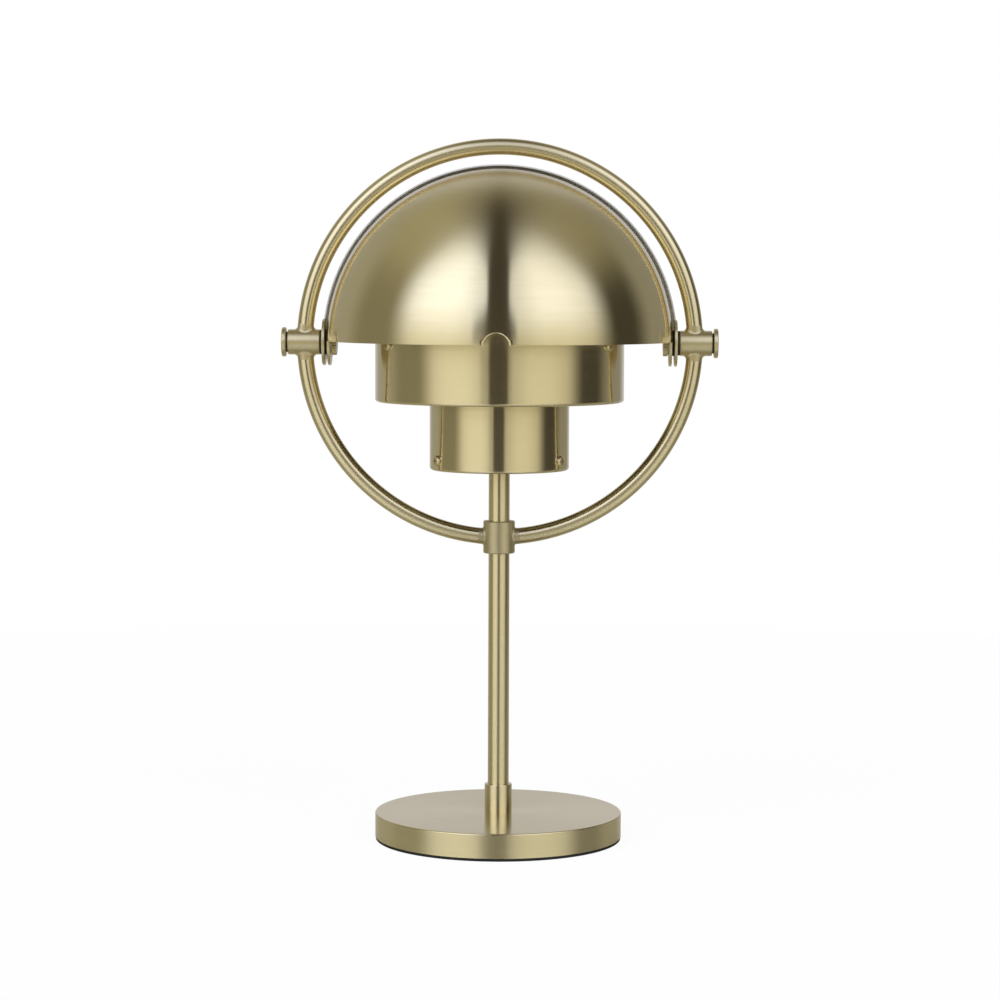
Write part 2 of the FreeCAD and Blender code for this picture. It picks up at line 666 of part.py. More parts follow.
def pan_screw(seat, height, outward):
    """Cross-recess pan screw along X with its head's seat at a distance from the stem's axis."""
    head_start = Vector(seat, 0, height)
    aim = ALONG_X if outward else -ALONG_X
    head = Part.makeCylinder(SCREW_HEAD_RADIUS, SCREW_HEAD_HEIGHT, head_start, aim)
    crown = seat + aim.x * SCREW_HEAD_HEIGHT
    rims = []
    for edge in head.Edges:
        if isinstance(edge.Curve, Part.Circle) and abs(edge.Curve.Center.x - crown) < SAME:
            rims.append(edge)
    head = head.makeFillet(SCREW_HEAD_EDGE, rims)
    floor = crown - RECESS_DEPTH if outward else crown
    for width, depth in ((RECESS_LENGTH, RECESS_WIDTH), (RECESS_WIDTH, RECESS_LENGTH)):
        corner = Vector(floor, -width / 2, height - depth / 2)
        head = head.cut(Part.makeBox(RECESS_DEPTH, width, depth, corner))
    shank = Part.makeCylinder(SCREW_RADIUS, SCREW_LENGTH, head_start, -aim)
    return head.fuse(shank)


def three_screws(seat, height, outward=True):
    """The same pan screw at the three azimuths."""
    screw = pan_screw(seat, height, outward)
    return Part.Compound([radially(screw, azimuth) for azimuth in SCREW_AZIMUTHS])


def inner_screw_seat():
    """Distance at which a flat head's rim meets the narrow drum's inside."""
    return math.sqrt(NARROW_BORE_RADIUS ** 2 - SCREW_HEAD_RADIUS ** 2)


def drum_spacers():
    """Three rods between the drums, threaded at both ends."""
    height = WIDE_SCREW_HEIGHT
    rod = Part.makeCylinder(SPACER_RADIUS, WIDE_DRUM_RADIUS, Vector(0, 0, height), ALONG_X)
    low = height - SPACER_RADIUS
    high = height + SPACER_RADIUS
    rod = rod.common(tube_z(WIDE_BORE_RADIUS, NARROW_DRUM_RADIUS, low, high))
    thread = SCREW_RADIUS + RUN_GAP
    inner_end = Vector(NARROW_BORE_RADIUS, 0, height)
    outer_end = Vector(WIDE_DRUM_RADIUS, 0, height)
    rod = rod.cut(Part.makeCylinder(thread, SPACER_THREAD_DEPTH, inner_end, ALONG_X))
    rod = rod.cut(Part.makeCylinder(thread, SPACER_THREAD_DEPTH, outer_end, -ALONG_X))
    return Part.Compound([radially(rod, azimuth) for azimuth in SCREW_AZIMUTHS])


def drum_carrier():
    """Three-arm bracket on the stem's top, with a tab down the narrow drum's inside at each arm."""
    carrier = rod_z(CARRIER_HUB_RADIUS, STEM_TOP, CARRIER_TOP)
    width = CARRIER_ARM_WIDTH
    arm = Part.makeBox(NARROW_BORE_RADIUS, width, CARRIER_THICK, Vector(0, -width / 2, STEM_TOP))
    arm = arm.common(rod_z(NARROW_BORE_RADIUS, STEM_TOP, CARRIER_TOP))
    tab_low = STEM_TOP - CARRIER_TAB_DROP
    tab = tube_z(NARROW_BORE_RADIUS, NARROW_BORE_RADIUS - CARRIER_THICK, tab_low, CARRIER_TOP)
    reach = Part.makeBox(NARROW_BORE_RADIUS, width, CARRIER_TOP - tab_low, Vector(0, -width / 2, tab_low))
    arm = arm.fuse(tab.common(reach))
    for azimuth in SCREW_AZIMUTHS:
        carrier = carrier.fuse(radially(arm, azimuth))
    carrier = carrier.removeSplitter()
    carrier = carrier.cut(rod_z(NIPPLE_RADIUS + RUN_GAP, STEM_TOP, CARRIER_TOP))
    return cut_screw_holes(carrier, NARROW_SCREW_HEIGHT, NARROW_DRUM_RADIUS)


def carrier_nut():
    """Nut that holds the carrier down on the stem."""
    return hexagon_z(CARRIER_NUT_FLATS, CARRIER_TOP, HOLDER_BOTTOM, NIPPLE_RADIUS + RUN_GAP)


# ---------------------------------------------------------------- lampholder and bulb
def lampholder_cap():
    """Lower cup of the lampholder, threaded on the top nipple."""
    cap = rod_z(HOLDER_RADIUS, HOLDER_BOTTOM, HOLDER_CAP_TOP)
    cap = cap.makeFillet(HOLDER_WALL, edges_at(cap, HOLDER_RADIUS, HOLDER_BOTTOM))
    cap = cap.cut(rod_z(HOLDER_RADIUS - HOLDER_WALL, HOLDER_BOTTOM + HOLDER_WALL, HOLDER_CAP_TOP))
    return cap.cut(rod_z(NIPPLE_RADIUS + RUN_GAP, HOLDER_BOTTOM, HOLDER_CAP_TOP))


def lampholder_shell():
    """Upper skirt of the lampholder, with an inward lip at its mouth."""
    bore = HOLDER_RADIUS - HOLDER_WALL
    shell = tube_z(HOLDER_RADIUS, bore, HOLDER_CAP_TOP, HOLDER_TOP)
    lip = tube_z(HOLDER_RADIUS, bore - HOLDER_SHELL_LIP, HOLDER_TOP - HOLDER_WALL, HOLDER_TOP)
    shell = shell.fuse(lip).removeSplitter()
    return shell.makeChamfer(EDGE_BREAK, edges_at(shell, HOLDER_RADIUS, HOLDER_TOP))


def lampholder_core():
    """Insulating core across the joint of cap and shell, which carries the contacts."""
    radius = HOLDER_RADIUS - HOLDER_WALL
    core = rod_z(radius - CORE_GAP, CORE_BOTTOM, CORE_TOP)
    step = rod_z(radius, HOLDER_CAP_TOP - CORE_GAP, HOLDER_CAP_TOP + CORE_GAP)
    return core.fuse(step)


def lampholder_sleeve():
    """Threaded metal sleeve that the bulb screws into."""
    inner = BULB_CAP_RADIUS + RUN_GAP
    return tube_z(inner + SLEEVE_WALL, inner, CORE_TOP, BULB_CAP_TOP - BULB_THREAD_PITCH)


def lampholder_contact():
    """Spring contact under the bulb's tip."""
    return rod_z(CONTACT_RADIUS, CORE_TOP, BULB_BOTTOM)


def bulb_cap():
    """Screw cap of the bulb, with its thread as rings."""
    turns = int((BULB_CAP_HEIGHT - BULB_THREAD_PITCH) / BULB_THREAD_PITCH)
    root = BULB_CAP_RADIUS - BULB_THREAD_DEPTH
    start = BULB_BOTTOM + BULB_THREAD_PITCH / 2
    points = [(0, BULB_BOTTOM), (CONTACT_RADIUS, BULB_BOTTOM), (root, start)]
    for turn in range(turns):
        low = start + turn * BULB_THREAD_PITCH
        points.append((BULB_CAP_RADIUS, low + BULB_THREAD_PITCH / 2))
        points.append((root, low + BULB_THREAD_PITCH))
    points.append((root, BULB_CAP_TOP))
    points.append((0, BULB_CAP_TOP))
    return turned_z(closed(points))


def bulb_form(neck, globe):
    """Solid form on the bulb's cap: a cone from its neck, tangent to the globe."""
    drop = BULB_GLOBE_CENTRE - BULB_CAP_TOP
    distance = math.hypot(neck, drop)
    tangent = math.degrees(math.acos(globe / distance) - math.atan2(drop, neck))
    turn = math.radians(tangent)
    touch = (globe * math.cos(turn), BULB_GLOBE_CENTRE + globe * math.sin(turn))
    return turned_z([
        line((0, BULB_CAP_TOP), (neck, BULB_CAP_TOP)),
        line((neck, BULB_CAP_TOP), touch),
        corner_arc((0, BULB_GLOBE_CENTRE), globe, tangent, 90),
        line((0, BULB_GLOBE_CENTRE + globe), (0, BULB_CAP_TOP)),
    ])


def bulb_globe():
    """Opal glass of the bulb, open at its neck."""
    neck = BULB_CAP_RADIUS - BULB_THREAD_DEPTH - BULB_GLASS_LAP
    inside = bulb_form(neck - BULB_GLASS_WALL, BULB_GLOBE_RADIUS - BULB_GLASS_WALL)
    return bulb_form(neck, BULB_GLOBE_RADIUS).cut(inside)


# ---------------------------------------------------------------- all sub-parts
def build():
    """Make every sub-part and write it."""
    os.makedirs("parts", exist_ok=True)

    save("base_pad", base_pad())
    save("base_cover", base_cover())
    save("base_weight", base_weight())
    save("base_collar", base_collar())
    save("cord_inlet_bush", cord_inlet_bush())
    save("terminal_block", terminal_block())
    save("terminal_screws", terminal_screws())
    save("internal_wires", internal_wires())

    save("stem_tube", stem_tube())
    save("foot_bush", threaded_bush(COVER_TOP, COVER_TOP + BUSH_LENGTH))
    save("foot_nipple", foot_nipple())
    save("foot_washer", foot_washer())
    save("foot_nut", foot_nut())
    save("top_bush", threaded_bush(STEM_TOP - BUSH_LENGTH, STEM_TOP))
    save("top_nipple", top_nipple())

    save("ring_collar", ring_collar())
    save("collar_grub_screw", collar_grub_screw())
    save("ring_upper_tube", hollow_ring(BOSS_ANGLE, 180 - BOSS_ANGLE))
    save("ring_lower_left_tube", hollow_ring(180 + BOSS_ANGLE, 270 - COLLAR_ANGLE))
    save("ring_lower_right_tube", hollow_ring(270 + COLLAR_ANGLE, 360 - BOSS_ANGLE))

    for node, shape in (
        ("pivot_boss", pivot_boss()),
        ("pivot_bolt", pivot_bolt()),
        ("pivot_knob", pivot_knob()),
        ("knurled_nut", knurled_nut()),
        ("front_shade_ear", shade_ear(FRONT_EAR_IN, FRONT_EAR_OUT)),
        ("rear_shade_ear", shade_ear(REAR_EAR_IN, REAR_EAR_OUT)),
    ):
        save(node + "_left", mirrored(shape))
        save(node + "_right", shape)
    save("knob_washers", one_each_side(pivot_washer(KNOB_WASHER_RADIUS, BOSS_OUT, KNOB_IN)))
    save("boss_washers", one_each_side(pivot_washer(BOSS_WASHER_RADIUS, REAR_EAR_OUT + AXIAL_GAP, BOSS_IN)))
    ear_washer = pivot_washer(EAR_WASHER_RADIUS, FRONT_EAR_OUT + AXIAL_GAP, REAR_EAR_IN - AXIAL_GAP)
    save("ear_washers", one_each_side(ear_washer))
    save("spring_washers", one_each_side(pivot_washer(SPRING_WASHER_RADIUS, NUT_OUT, SPRING_WASHER_OUT)))

    save("front_shade", quarter_shell(FRONT_SHADE_RADIUS))
    save("rear_shade", rear_shell(REAR_SHADE_RADIUS))

    save("wide_drum", wide_drum())
    save("narrow_drum", narrow_drum())
    save("wide_drum_screws", three_screws(WIDE_DRUM_RADIUS, WIDE_SCREW_HEIGHT))
    save("narrow_drum_screws", three_screws(NARROW_DRUM_RADIUS, NARROW_SCREW_HEIGHT))
    save("spacer_inner_screws", three_screws(inner_screw_seat(), WIDE_SCREW_HEIGHT, outward=False))
    save("drum_spacers", drum_spacers())
    save("drum_carrier", drum_carrier())
    save("carrier_nut", carrier_nut())

    save("lampholder_cap", lampholder_cap())
    save("lampholder_shell", lampholder_shell())
    save("lampholder_core", lampholder_core())
    save("lampholder_sleeve", lampholder_sleeve())
    save("lampholder_contact", lampholder_contact())
    save("bulb_cap", bulb_cap())
    save("bulb_globe", bulb_globe())


build()
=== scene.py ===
"""Dome shade desk lamp: finishes, fine shapes, studio and camera built round the fixed frame."""
import json
import logging
import math
from dataclasses import dataclass
from enum import Enum

import bmesh
import bpy
from mathutils import Matrix, Vector


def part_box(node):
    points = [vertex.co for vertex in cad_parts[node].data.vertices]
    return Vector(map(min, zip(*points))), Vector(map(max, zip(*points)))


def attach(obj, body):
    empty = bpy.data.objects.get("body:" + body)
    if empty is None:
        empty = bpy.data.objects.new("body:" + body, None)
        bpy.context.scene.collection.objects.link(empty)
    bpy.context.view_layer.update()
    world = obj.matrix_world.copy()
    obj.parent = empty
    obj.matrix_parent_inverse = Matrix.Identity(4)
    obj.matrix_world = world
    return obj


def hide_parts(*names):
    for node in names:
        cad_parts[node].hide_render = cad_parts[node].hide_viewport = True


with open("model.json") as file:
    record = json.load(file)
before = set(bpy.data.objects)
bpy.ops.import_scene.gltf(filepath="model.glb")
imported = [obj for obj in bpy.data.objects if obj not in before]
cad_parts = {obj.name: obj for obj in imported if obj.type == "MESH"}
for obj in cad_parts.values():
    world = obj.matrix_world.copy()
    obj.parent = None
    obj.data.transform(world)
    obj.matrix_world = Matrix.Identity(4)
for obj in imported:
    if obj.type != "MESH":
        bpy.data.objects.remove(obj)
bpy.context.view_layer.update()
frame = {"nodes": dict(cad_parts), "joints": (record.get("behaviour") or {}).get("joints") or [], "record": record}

MM = 0.001
SAME = 1e-6              # metres; points nearer than this are one

RIGHT = Vector((1, 0, 0))
FRONT = Vector((0, -1, 0))

logging.basicConfig(level=logging.INFO, format="%(name)s: %(message)s")
LOG = logging.getLogger("lamp")

Outline = list[tuple[float, float]]
Colour = tuple[float, float, float]
Ramp = tuple[float, float]       # degrees at which a smooth change starts and ends

EDGE_STEPS = 4           # steps in a small rounded edge
BRUSHED = "brushed_brass"        # material slots of the record
TURNED = "turned_brass"


class Axis(Enum):
    """The line that a turned piece is spun about."""

    STEM = Vector((0, 0, 1))
    PIVOT = Vector((1, 0, 0))


# ---------------------------------------------------------------- frame readings
def pivot_point() -> Vector:
    """Centre of the shades, from the frame's first joint."""
    return Vector(frame["joints"][0]["pos_m"])


def level_with_pivot() -> Vector:
    """Point on the lamp's axis at the pivots' height."""
    return Vector((0, 0, pivot_point().z))


def heights_of(node: str) -> tuple[float, float]:
    """Lowest and highest point of a node."""
    low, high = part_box(node)
    return low.z, high.z


def span_of(node: str) -> tuple[float, float]:
    """Nearest and farthest distance of a right-hand node along the shades' axis."""
    low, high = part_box(node)
    return low.x, high.x


def body_of_node(node: str) -> str:
    """Name of the body that a node belongs to."""
    for body, members in frame["record"]["behaviour"]["bodies"].items():
        if node in members:
            return body
    raise KeyError(node)


# ---------------------------------------------------------------- mesh helpers
def arc(centre: tuple[float, float], radius: float, first: float, last: float, steps: int) -> Outline:
    """Points on an arc.

    Args:
        centre: Middle of the arc in the outline's plane.
        radius: Radius in metres.
        first: Starting angle in degrees.
        last: Final angle in degrees.
        steps: Number of equal steps.

    Returns:
        The points, both ends included.
    """
    points = []
    for step in range(steps + 1):
        turn = math.radians(first + (last - first) * step / steps)
        points.append((centre[0] + radius * math.cos(turn), centre[1] + radius * math.sin(turn)))
    return points


def spin(outline: Outline, axis: Axis, steps: int, start: Vector, sweep: float = 360.0,
         centre: Vector = Vector((0, 0, 0))) -> bmesh.types.BMesh:
    """Turn a closed outline of (distance from the axis, place along the axis) points.

    Args:
        outline: The outline's corners.
        axis: The line to turn about.
        steps: Number of steps in the turn.
        start: Direction, square to the axis, in which the outline is set down.
        sweep: Angle of the turn in degrees.
        centre: Point on the axis from which places along it are counted.

    Returns:
        A closed mesh; a part turn gets its two end faces.
    """
    bm = bmesh.new()
    verts = [bm.verts.new(centre + start * away + axis.value * place) for away, place in outline]
    edges = [bm.edges.new((verts[i - 1], verts[i])) for i in range(len(verts))]
    whole = abs(sweep) >= 360
    bmesh.ops.spin(bm, geom=verts + edges, cent=centre, axis=axis.value, angle=math.radians(sweep),
                   steps=steps, use_merge=whole, use_duplicate=False)
    bmesh.ops.remove_doubles(bm, verts=bm.verts, dist=SAME)
    if not whole:
        bmesh.ops.holes_fill(bm, edges=[edge for edge in bm.edges if edge.is_boundary], sides=0)
    bmesh.ops.recalc_face_normals(bm, faces=bm.faces)
    return bm


def round_edges(bm: bmesh.types.BMesh, width: float, past: float) -> None:
    """Round every edge that turns by more than an angle in degrees."""
    edges = [edge for edge in bm.edges if edge.is_manifold and edge.calc_face_angle() > math.radians(past)]
    bmesh.ops.bevel(bm, geom=edges, offset=width, offset_type="OFFSET", affect="EDGES", segments=3,
                    profile=0.5, material=-1, clamp_overlap=True)


def add_piece(name: str, bm: bmesh.types.BMesh, sharp: float = 35.0) -> bpy.types.Object:
    """Make an object at the origin from a finished bmesh.

    Args:
        name: The piece's name.
        bm: The mesh, in the frame's own metres; it is freed.
        sharp: Angle in degrees past which an edge is shaded sharp.

    Returns:
        The new object, shaded smooth between its sharp edges.
    """
    mesh = bpy.data.meshes.new(name)
    bm.to_mesh(mesh)
    bm.free()
    mesh.shade_smooth()
    mesh.set_sharp_from_angle(angle=math.radians(sharp))
    piece = bpy.data.objects.new(name, mesh)
    bpy.context.scene.collection.objects.link(piece)
    return piece


def cut_away(bm: bmesh.types.BMesh, cutter: bmesh.types.BMesh) -> bmesh.types.BMesh:
    """Take one closed mesh away from another.

    Args:
        bm: The mesh to cut; it is freed.
        cutter: The mesh to take away; it is freed.

    Returns:
        What is left.
    """
    objects = [add_piece("cut_" + role, part) for role, part in (("blank", bm), ("tool", cutter))]
    blank, tool = objects
    modifier = blank.modifiers.new("cut", "BOOLEAN")
    modifier.operation = "DIFFERENCE"
    modifier.solver = "EXACT"
    modifier.object = tool
    graph = bpy.context.evaluated_depsgraph_get()
    left = bmesh.new()
    left.from_mesh(blank.evaluated_get(graph).data)
    for scrap in objects:
        mesh = scrap.data
        bpy.data.objects.remove(scrap)
        bpy.data.meshes.remove(mesh)
    return left


def mirrored(bm: bmesh.types.BMesh) -> bmesh.types.BMesh:
    """Turn a right-hand mesh into its left-hand twin, with its faces pointing outwards."""
    bmesh.ops.scale(bm, vec=(-1, 1, 1), verts=bm.verts)
    bmesh.ops.reverse_faces(bm, faces=bm.faces)
    return bm


def centre_finish(piece: bpy.types.Object, reach: float) -> None:
    """Centre a piece's own coordinates on the shades' centre, so that its brushing runs round it.

    Args:
        piece: The piece.
        reach: Half the width that the coordinates cover.
    """
    piece.data.use_auto_texspace = False
    piece.data.texspace_location = pivot_point()
    piece.data.texspace_size = (reach, reach, reach)


# ---------------------------------------------------------------- shader helpers
class Sheet:
    """Small writer for one node tree."""

    def __init__(self, tree: bpy.types.NodeTree) -> None:
        """Keep the tree that nodes are added to."""
        self.tree = tree

    def node(self, kind: str, **settings: object) -> bpy.types.Node:
        """Add a node and set its properties."""
        made = self.tree.nodes.new(kind)
        for name, value in settings.items():
            setattr(made, name, value)
        return made

    def feed(self, target: bpy.types.NodeSocket, value: object) -> None:
        """Link a socket to an input, or set a plain value on it."""
        if isinstance(value, bpy.types.NodeSocket):
            self.tree.links.new(value, target)
        else:
            target.default_value = value

    def math(self, operation: str, *values: object) -> bpy.types.NodeSocket:
        """Maths on one to three values."""
        made = self.node("ShaderNodeMath", operation=operation)
        for target, value in zip(made.inputs, values):
            self.feed(target, value)
        return made.outputs[0]

    def smooth(self, value: object, low: float, high: float) -> bpy.types.NodeSocket:
        """Smooth step from 0 at one value to 1 at another."""
        made = self.node("ShaderNodeMapRange", interpolation_type="SMOOTHSTEP")
        for target, number in zip(made.inputs, (value, low, high, 0.0, 1.0)):
            self.feed(target, number)
        return made.outputs[0]

    def mix(self, factor: object, first: object, second: object) -> bpy.types.NodeSocket:
        """Mix of two colours."""
        made = self.node("ShaderNodeMix", data_type="RGBA")
        colours = [socket for socket in made.inputs if socket.type == "RGBA"]
        self.feed(made.inputs["Factor"], factor)
        for target, value in zip(colours, (first, second)):
            self.feed(target, value)
        return next(socket for socket in made.outputs if socket.type == "RGBA")

    def scale(self, colour: Colour, factor: object) -> bpy.types.NodeSocket:
        """Colour times a factor."""
        made = self.node("ShaderNodeVectorMath", operation="SCALE")
        self.feed(made.inputs["Vector"], colour)
        self.feed(made.inputs["Scale"], factor)
        return made.outputs["Vector"]

    def parts(self, vector: bpy.types.NodeSocket) -> list[bpy.types.NodeSocket]:
        """X, Y and Z of a vector."""
        split = self.node("ShaderNodeSeparateXYZ")
        self.feed(split.inputs[0], vector)
        return list(split.outputs)

    def group(self, tree: bpy.types.NodeTree, **values: object) -> bpy.types.Node:
        """Place a node group and fill in its inputs by name."""
        made = self.node("ShaderNodeGroup", node_tree=tree)
        for name, value in values.items():
            self.feed(made.inputs[name], value)
        return made


class GroupSheet(Sheet):
    """Sheet for a new shared node group with named inputs and outputs."""

    def __init__(self, name: str, inputs: dict[str, str], outputs: tuple[str, ...]) -> None:
        """Open the group.

        Args:
            name: The group's name.
            inputs: Socket type of each input, by name.
            outputs: Names of the value outputs.
        """
        super().__init__(bpy.data.node_groups.new(name, "ShaderNodeTree"))
        for label, kind in inputs.items():
            self.tree.interface.new_socket(label, in_out="INPUT", socket_type=kind)
        for label in outputs:
            self.tree.interface.new_socket(label, in_out="OUTPUT", socket_type="NodeSocketFloat")
        self.given = self.node("NodeGroupInput").outputs
        self.out = self.node("NodeGroupOutput").inputs


VECTOR = "NodeSocketVector"
VALUE = "NodeSocketFloat"

# Output, noise scale, and the noise values that become 0 and 1.
GRAIN_LAYERS = (("Height", 1.0, 0.25, 0.75), ("Tone", 0.4, 0.3, 0.7))
MARK_LAYERS = (("Patch", 1.0, 0.3, 0.7), ("Speck", 14.0, 0.5, 0.75))
GRAIN_DETAIL = 2.0
MARK_DETAIL = 3.0


def grain_noise(sheet: GroupSheet, place: tuple[object, object, object], fourth: object) -> None:
    """End a grain group: fine noise for the lines' height, broader noise for the tone between them.

    Args:
        sheet: The group's sheet, with Height and Tone outputs.
        place: Two coordinates across the lines and one along them.
        fourth: Second coordinate along the lines, so that they close up round the piece.
    """
    joined = sheet.node("ShaderNodeCombineXYZ")
    for target, value in zip(joined.inputs, place):
        sheet.feed(target, value)
    for label, scale, low, high in GRAIN_LAYERS:
        noise = sheet.node("ShaderNodeTexNoise", noise_dimensions="4D")
        sheet.feed(noise.inputs["Vector"], joined.outputs[0])
        sheet.feed(noise.inputs["W"], fourth)
        noise.inputs["Scale"].default_value = scale
        noise.inputs["Detail"].default_value = GRAIN_DETAIL
        sheet.feed(sheet.out[label], sheet.smooth(noise.outputs[0], low, high))


def grain_round_z(sheet: GroupSheet, bend: bpy.types.NodeSocket | None) -> bpy.types.NodeTree:
    """Fill a group with lines that run round the Z axis.

    Args:
        sheet: The group's sheet, with Vector, Spacing and Length inputs.
        bend: Radius from which the distance across the lines is counted; none counts from the axis.

    Returns:
        The group. Spacing is in metres between lines and Length in radians along them.
    """
    x, y, z = sheet.parts(sheet.given["Vector"])
    square = sheet.math("ADD", sheet.math("MULTIPLY", x, x), sheet.math("MULTIPLY", y, y))
    radius = sheet.math("MAXIMUM", sheet.math("SQRT", square), SAME)
    reach = sheet.math("MULTIPLY", radius, sheet.given["Length"])
    off = radius if bend is None else sheet.math("SUBTRACT", radius, bend)
    across = sheet.math("DIVIDE", off, sheet.given["Spacing"])
    up = sheet.math("DIVIDE", z, sheet.given["Spacing"])
    grain_noise(sheet, (across, up, sheet.math("DIVIDE", x, reach)), sheet.math("DIVIDE", y, reach))
    return sheet.tree


def make_turned_grain() -> bpy.types.NodeTree:
    """Build the group of fine lines round the Z axis, as a lathe or brush leaves them."""
    inputs = {"Vector": VECTOR, "Spacing": VALUE, "Length": VALUE}
    return grain_round_z(GroupSheet("Turned grain", inputs, ("Height", "Tone")), None)


def make_drawn_grain() -> bpy.types.NodeTree:
    """Build the group of fine lines along a tube bent round the Z axis; Bend is its bend radius."""
    inputs = {"Vector": VECTOR, "Bend": VALUE, "Spacing": VALUE, "Length": VALUE}
    sheet = GroupSheet("Drawn grain", inputs, ("Height", "Tone"))
    return grain_round_z(sheet, sheet.given["Bend"])


def make_handling() -> bpy.types.NodeTree:
    """Build the group of soft patches and fine specks that lacquer, moulding and handling leave.

    Returns:
        The group. Size is in metres across a patch.
    """
    sheet = GroupSheet("Handling", {"Vector": VECTOR, "Size": VALUE}, ("Patch", "Speck"))
    density = sheet.math("DIVIDE", 1.0, sheet.given["Size"])
    for label, factor, low, high in MARK_LAYERS:
        noise = sheet.node("ShaderNodeTexNoise", noise_dimensions="3D")
        sheet.feed(noise.inputs["Vector"], sheet.given["Vector"])
        sheet.feed(noise.inputs["Scale"], sheet.math("MULTIPLY", density, factor))
        noise.inputs["Detail"].default_value = MARK_DETAIL
        sheet.feed(sheet.out[label], sheet.smooth(noise.outputs[0], low, high))
    return sheet.tree


class Groups:
    """The shared node groups, built once."""

    def __init__(self) -> None:
        """Build the three groups."""
        self.turned = make_turned_grain()
        self.drawn = make_drawn_grain()
        self.handling = make_handling()


# ---------------------------------------------------------------- finishes
class Grain(Enum):
    """How the fine lines of a metal finish run."""

    ROUND_STEM = "turned about the stem's axis"
    ROUND_PIVOT = "turned about the shades' axis"
    ALONG_RING = "drawn along the ring"


LACQUER_ROUGHNESS = 0.08
PATCH_SHARE = 0.4        # how much of a metal's tone comes from soft patches
LINE_SHARE = 0.6         # how much comes from the lines of its grain
MOULDED_SPREAD = 0.08    # how far a moulded surface's roughness varies


@dataclass(frozen=True)
class Metal:
    """A brushed, turned or drawn metal; the brass has a thin clear lacquer.

    The turn and the tangent's axis say which way its highlights stretch. Without an axis they follow
    the shader's own tangent, round the stem.
    """

    name: str
    tint: Colour
    deep: Colour
    roughness: float
    grain: Grain
    anisotropy: float = 0.0
    turn: float = 0.25
    tangent: str = ""
    spacing: float = 0.8 * MM
    length: float = 0.25
    depth: float = 0.0005 * MM
    wear: float = 0.02
    lacquer: float = 0.0
    patch: float = 30 * MM
    bend: float = 138.5 * MM

    def lines(self, sheet: Sheet, groups: Groups, place: bpy.types.NodeSocket) -> bpy.types.Node:
        """Place the grain group that suits this finish, centred on its axis.

        Args:
            sheet: The material's sheet.
            groups: The shared node groups.
            place: The object's coordinates.

        Returns:
            The group's node.
        """
        aimed = sheet.node("ShaderNodeMapping", vector_type="TEXTURE")
        sheet.feed(aimed.inputs["Vector"], place)
        values = {"Vector": aimed.outputs[0], "Spacing": self.spacing, "Length": self.length}
        if self.grain is Grain.ROUND_STEM:
            return sheet.group(groups.turned, **values)
        aimed.inputs["Location"].default_value = pivot_point()
        if self.grain is Grain.ROUND_PIVOT:
            aimed.inputs["Rotation"].default_value = (0, math.radians(90), 0)
            return sheet.group(groups.turned, **values)
        aimed.inputs["Rotation"].default_value = (math.radians(90), 0, 0)
        return sheet.group(groups.drawn, Bend=self.bend, **values)

    def build(self, groups: Groups) -> bpy.types.Material:
        """Make the material.

        Args:
            groups: The shared node groups.

        Returns:
            A material whose colour, roughness and relief vary along its grain.
        """
        material, sheet, shader = start_material(self.name)
        shader.inputs["Metallic"].default_value = 1.0
        shader.inputs["Anisotropic"].default_value = self.anisotropy
        shader.inputs["Anisotropic Rotation"].default_value = self.turn
        if self.tangent:
            round_axis = sheet.node("ShaderNodeTangent", direction_type="RADIAL", axis=self.tangent)
            sheet.feed(shader.inputs["Tangent"], round_axis.outputs[0])
        shader.inputs["Coat Weight"].default_value = self.lacquer
        shader.inputs["Coat Roughness"].default_value = LACQUER_ROUGHNESS
        place = sheet.node("ShaderNodeTexCoord").outputs["Object"]
        lines = self.lines(sheet, groups, place)
        marks = sheet.group(groups.handling, Vector=place, Size=self.patch)
        lined = sheet.math("MULTIPLY", lines.outputs["Tone"], LINE_SHARE)
        worn = sheet.math("MULTIPLY_ADD", marks.outputs["Patch"], PATCH_SHARE, lined)
        sheet.feed(shader.inputs["Base Color"], sheet.mix(worn, (*self.tint, 1), (*self.deep, 1)))
        rough = sheet.math("MULTIPLY_ADD", worn, self.wear, self.roughness - self.wear / 2)
        sheet.feed(shader.inputs["Roughness"], rough)
        add_relief(sheet, shader, lines.outputs["Height"], self.depth)
        return material


@dataclass(frozen=True)
class Moulding:
    """Moulded plastic, rubber, fibre, ceramic, glass or the skin of a casting."""

    name: str
    tint: Colour
    deep: Colour
    roughness: float
    patch: float = 12 * MM
    depth: float = 0.02 * MM
    metallic: float = 0.0

    def build(self, groups: Groups) -> bpy.types.Material:
        """Make the material, with a soft mottle and a fine surface grain.

        Args:
            groups: The shared node groups.

        Returns:
            The material.
        """
        material, sheet, shader = start_material(self.name)
        shader.inputs["Metallic"].default_value = self.metallic
        place = sheet.node("ShaderNodeTexCoord").outputs["Object"]
        marks = sheet.group(groups.handling, Vector=place, Size=self.patch)
        patch = marks.outputs["Patch"]
        sheet.feed(shader.inputs["Base Color"], sheet.mix(patch, (*self.tint, 1), (*self.deep, 1)))
        rough = sheet.math("MULTIPLY_ADD", patch, MOULDED_SPREAD, self.roughness - MOULDED_SPREAD / 2)
        sheet.feed(shader.inputs["Roughness"], rough)
        add_relief(sheet, shader, marks.outputs["Speck"], self.depth)
        return material


Finish = Metal | Moulding


def start_material(name: str) -> tuple[bpy.types.Material, Sheet, bpy.types.Node]:
    """Open a node material and return it with its sheet and its Principled shader."""
    material = bpy.data.materials.new(name)
    material.use_nodes = True
    return material, Sheet(material.node_tree), material.node_tree.nodes["Principled BSDF"]


def add_relief(sheet: Sheet, shader: bpy.types.Node, height: bpy.types.NodeSocket, depth: float) -> None:
    """Feed a height through a Bump node into a shader's normal."""
    bump = sheet.node("ShaderNodeBump")
    bump.inputs["Distance"].default_value = depth
    sheet.feed(bump.inputs["Height"], height)
    sheet.feed(shader.inputs["Normal"], bump.outputs[0])


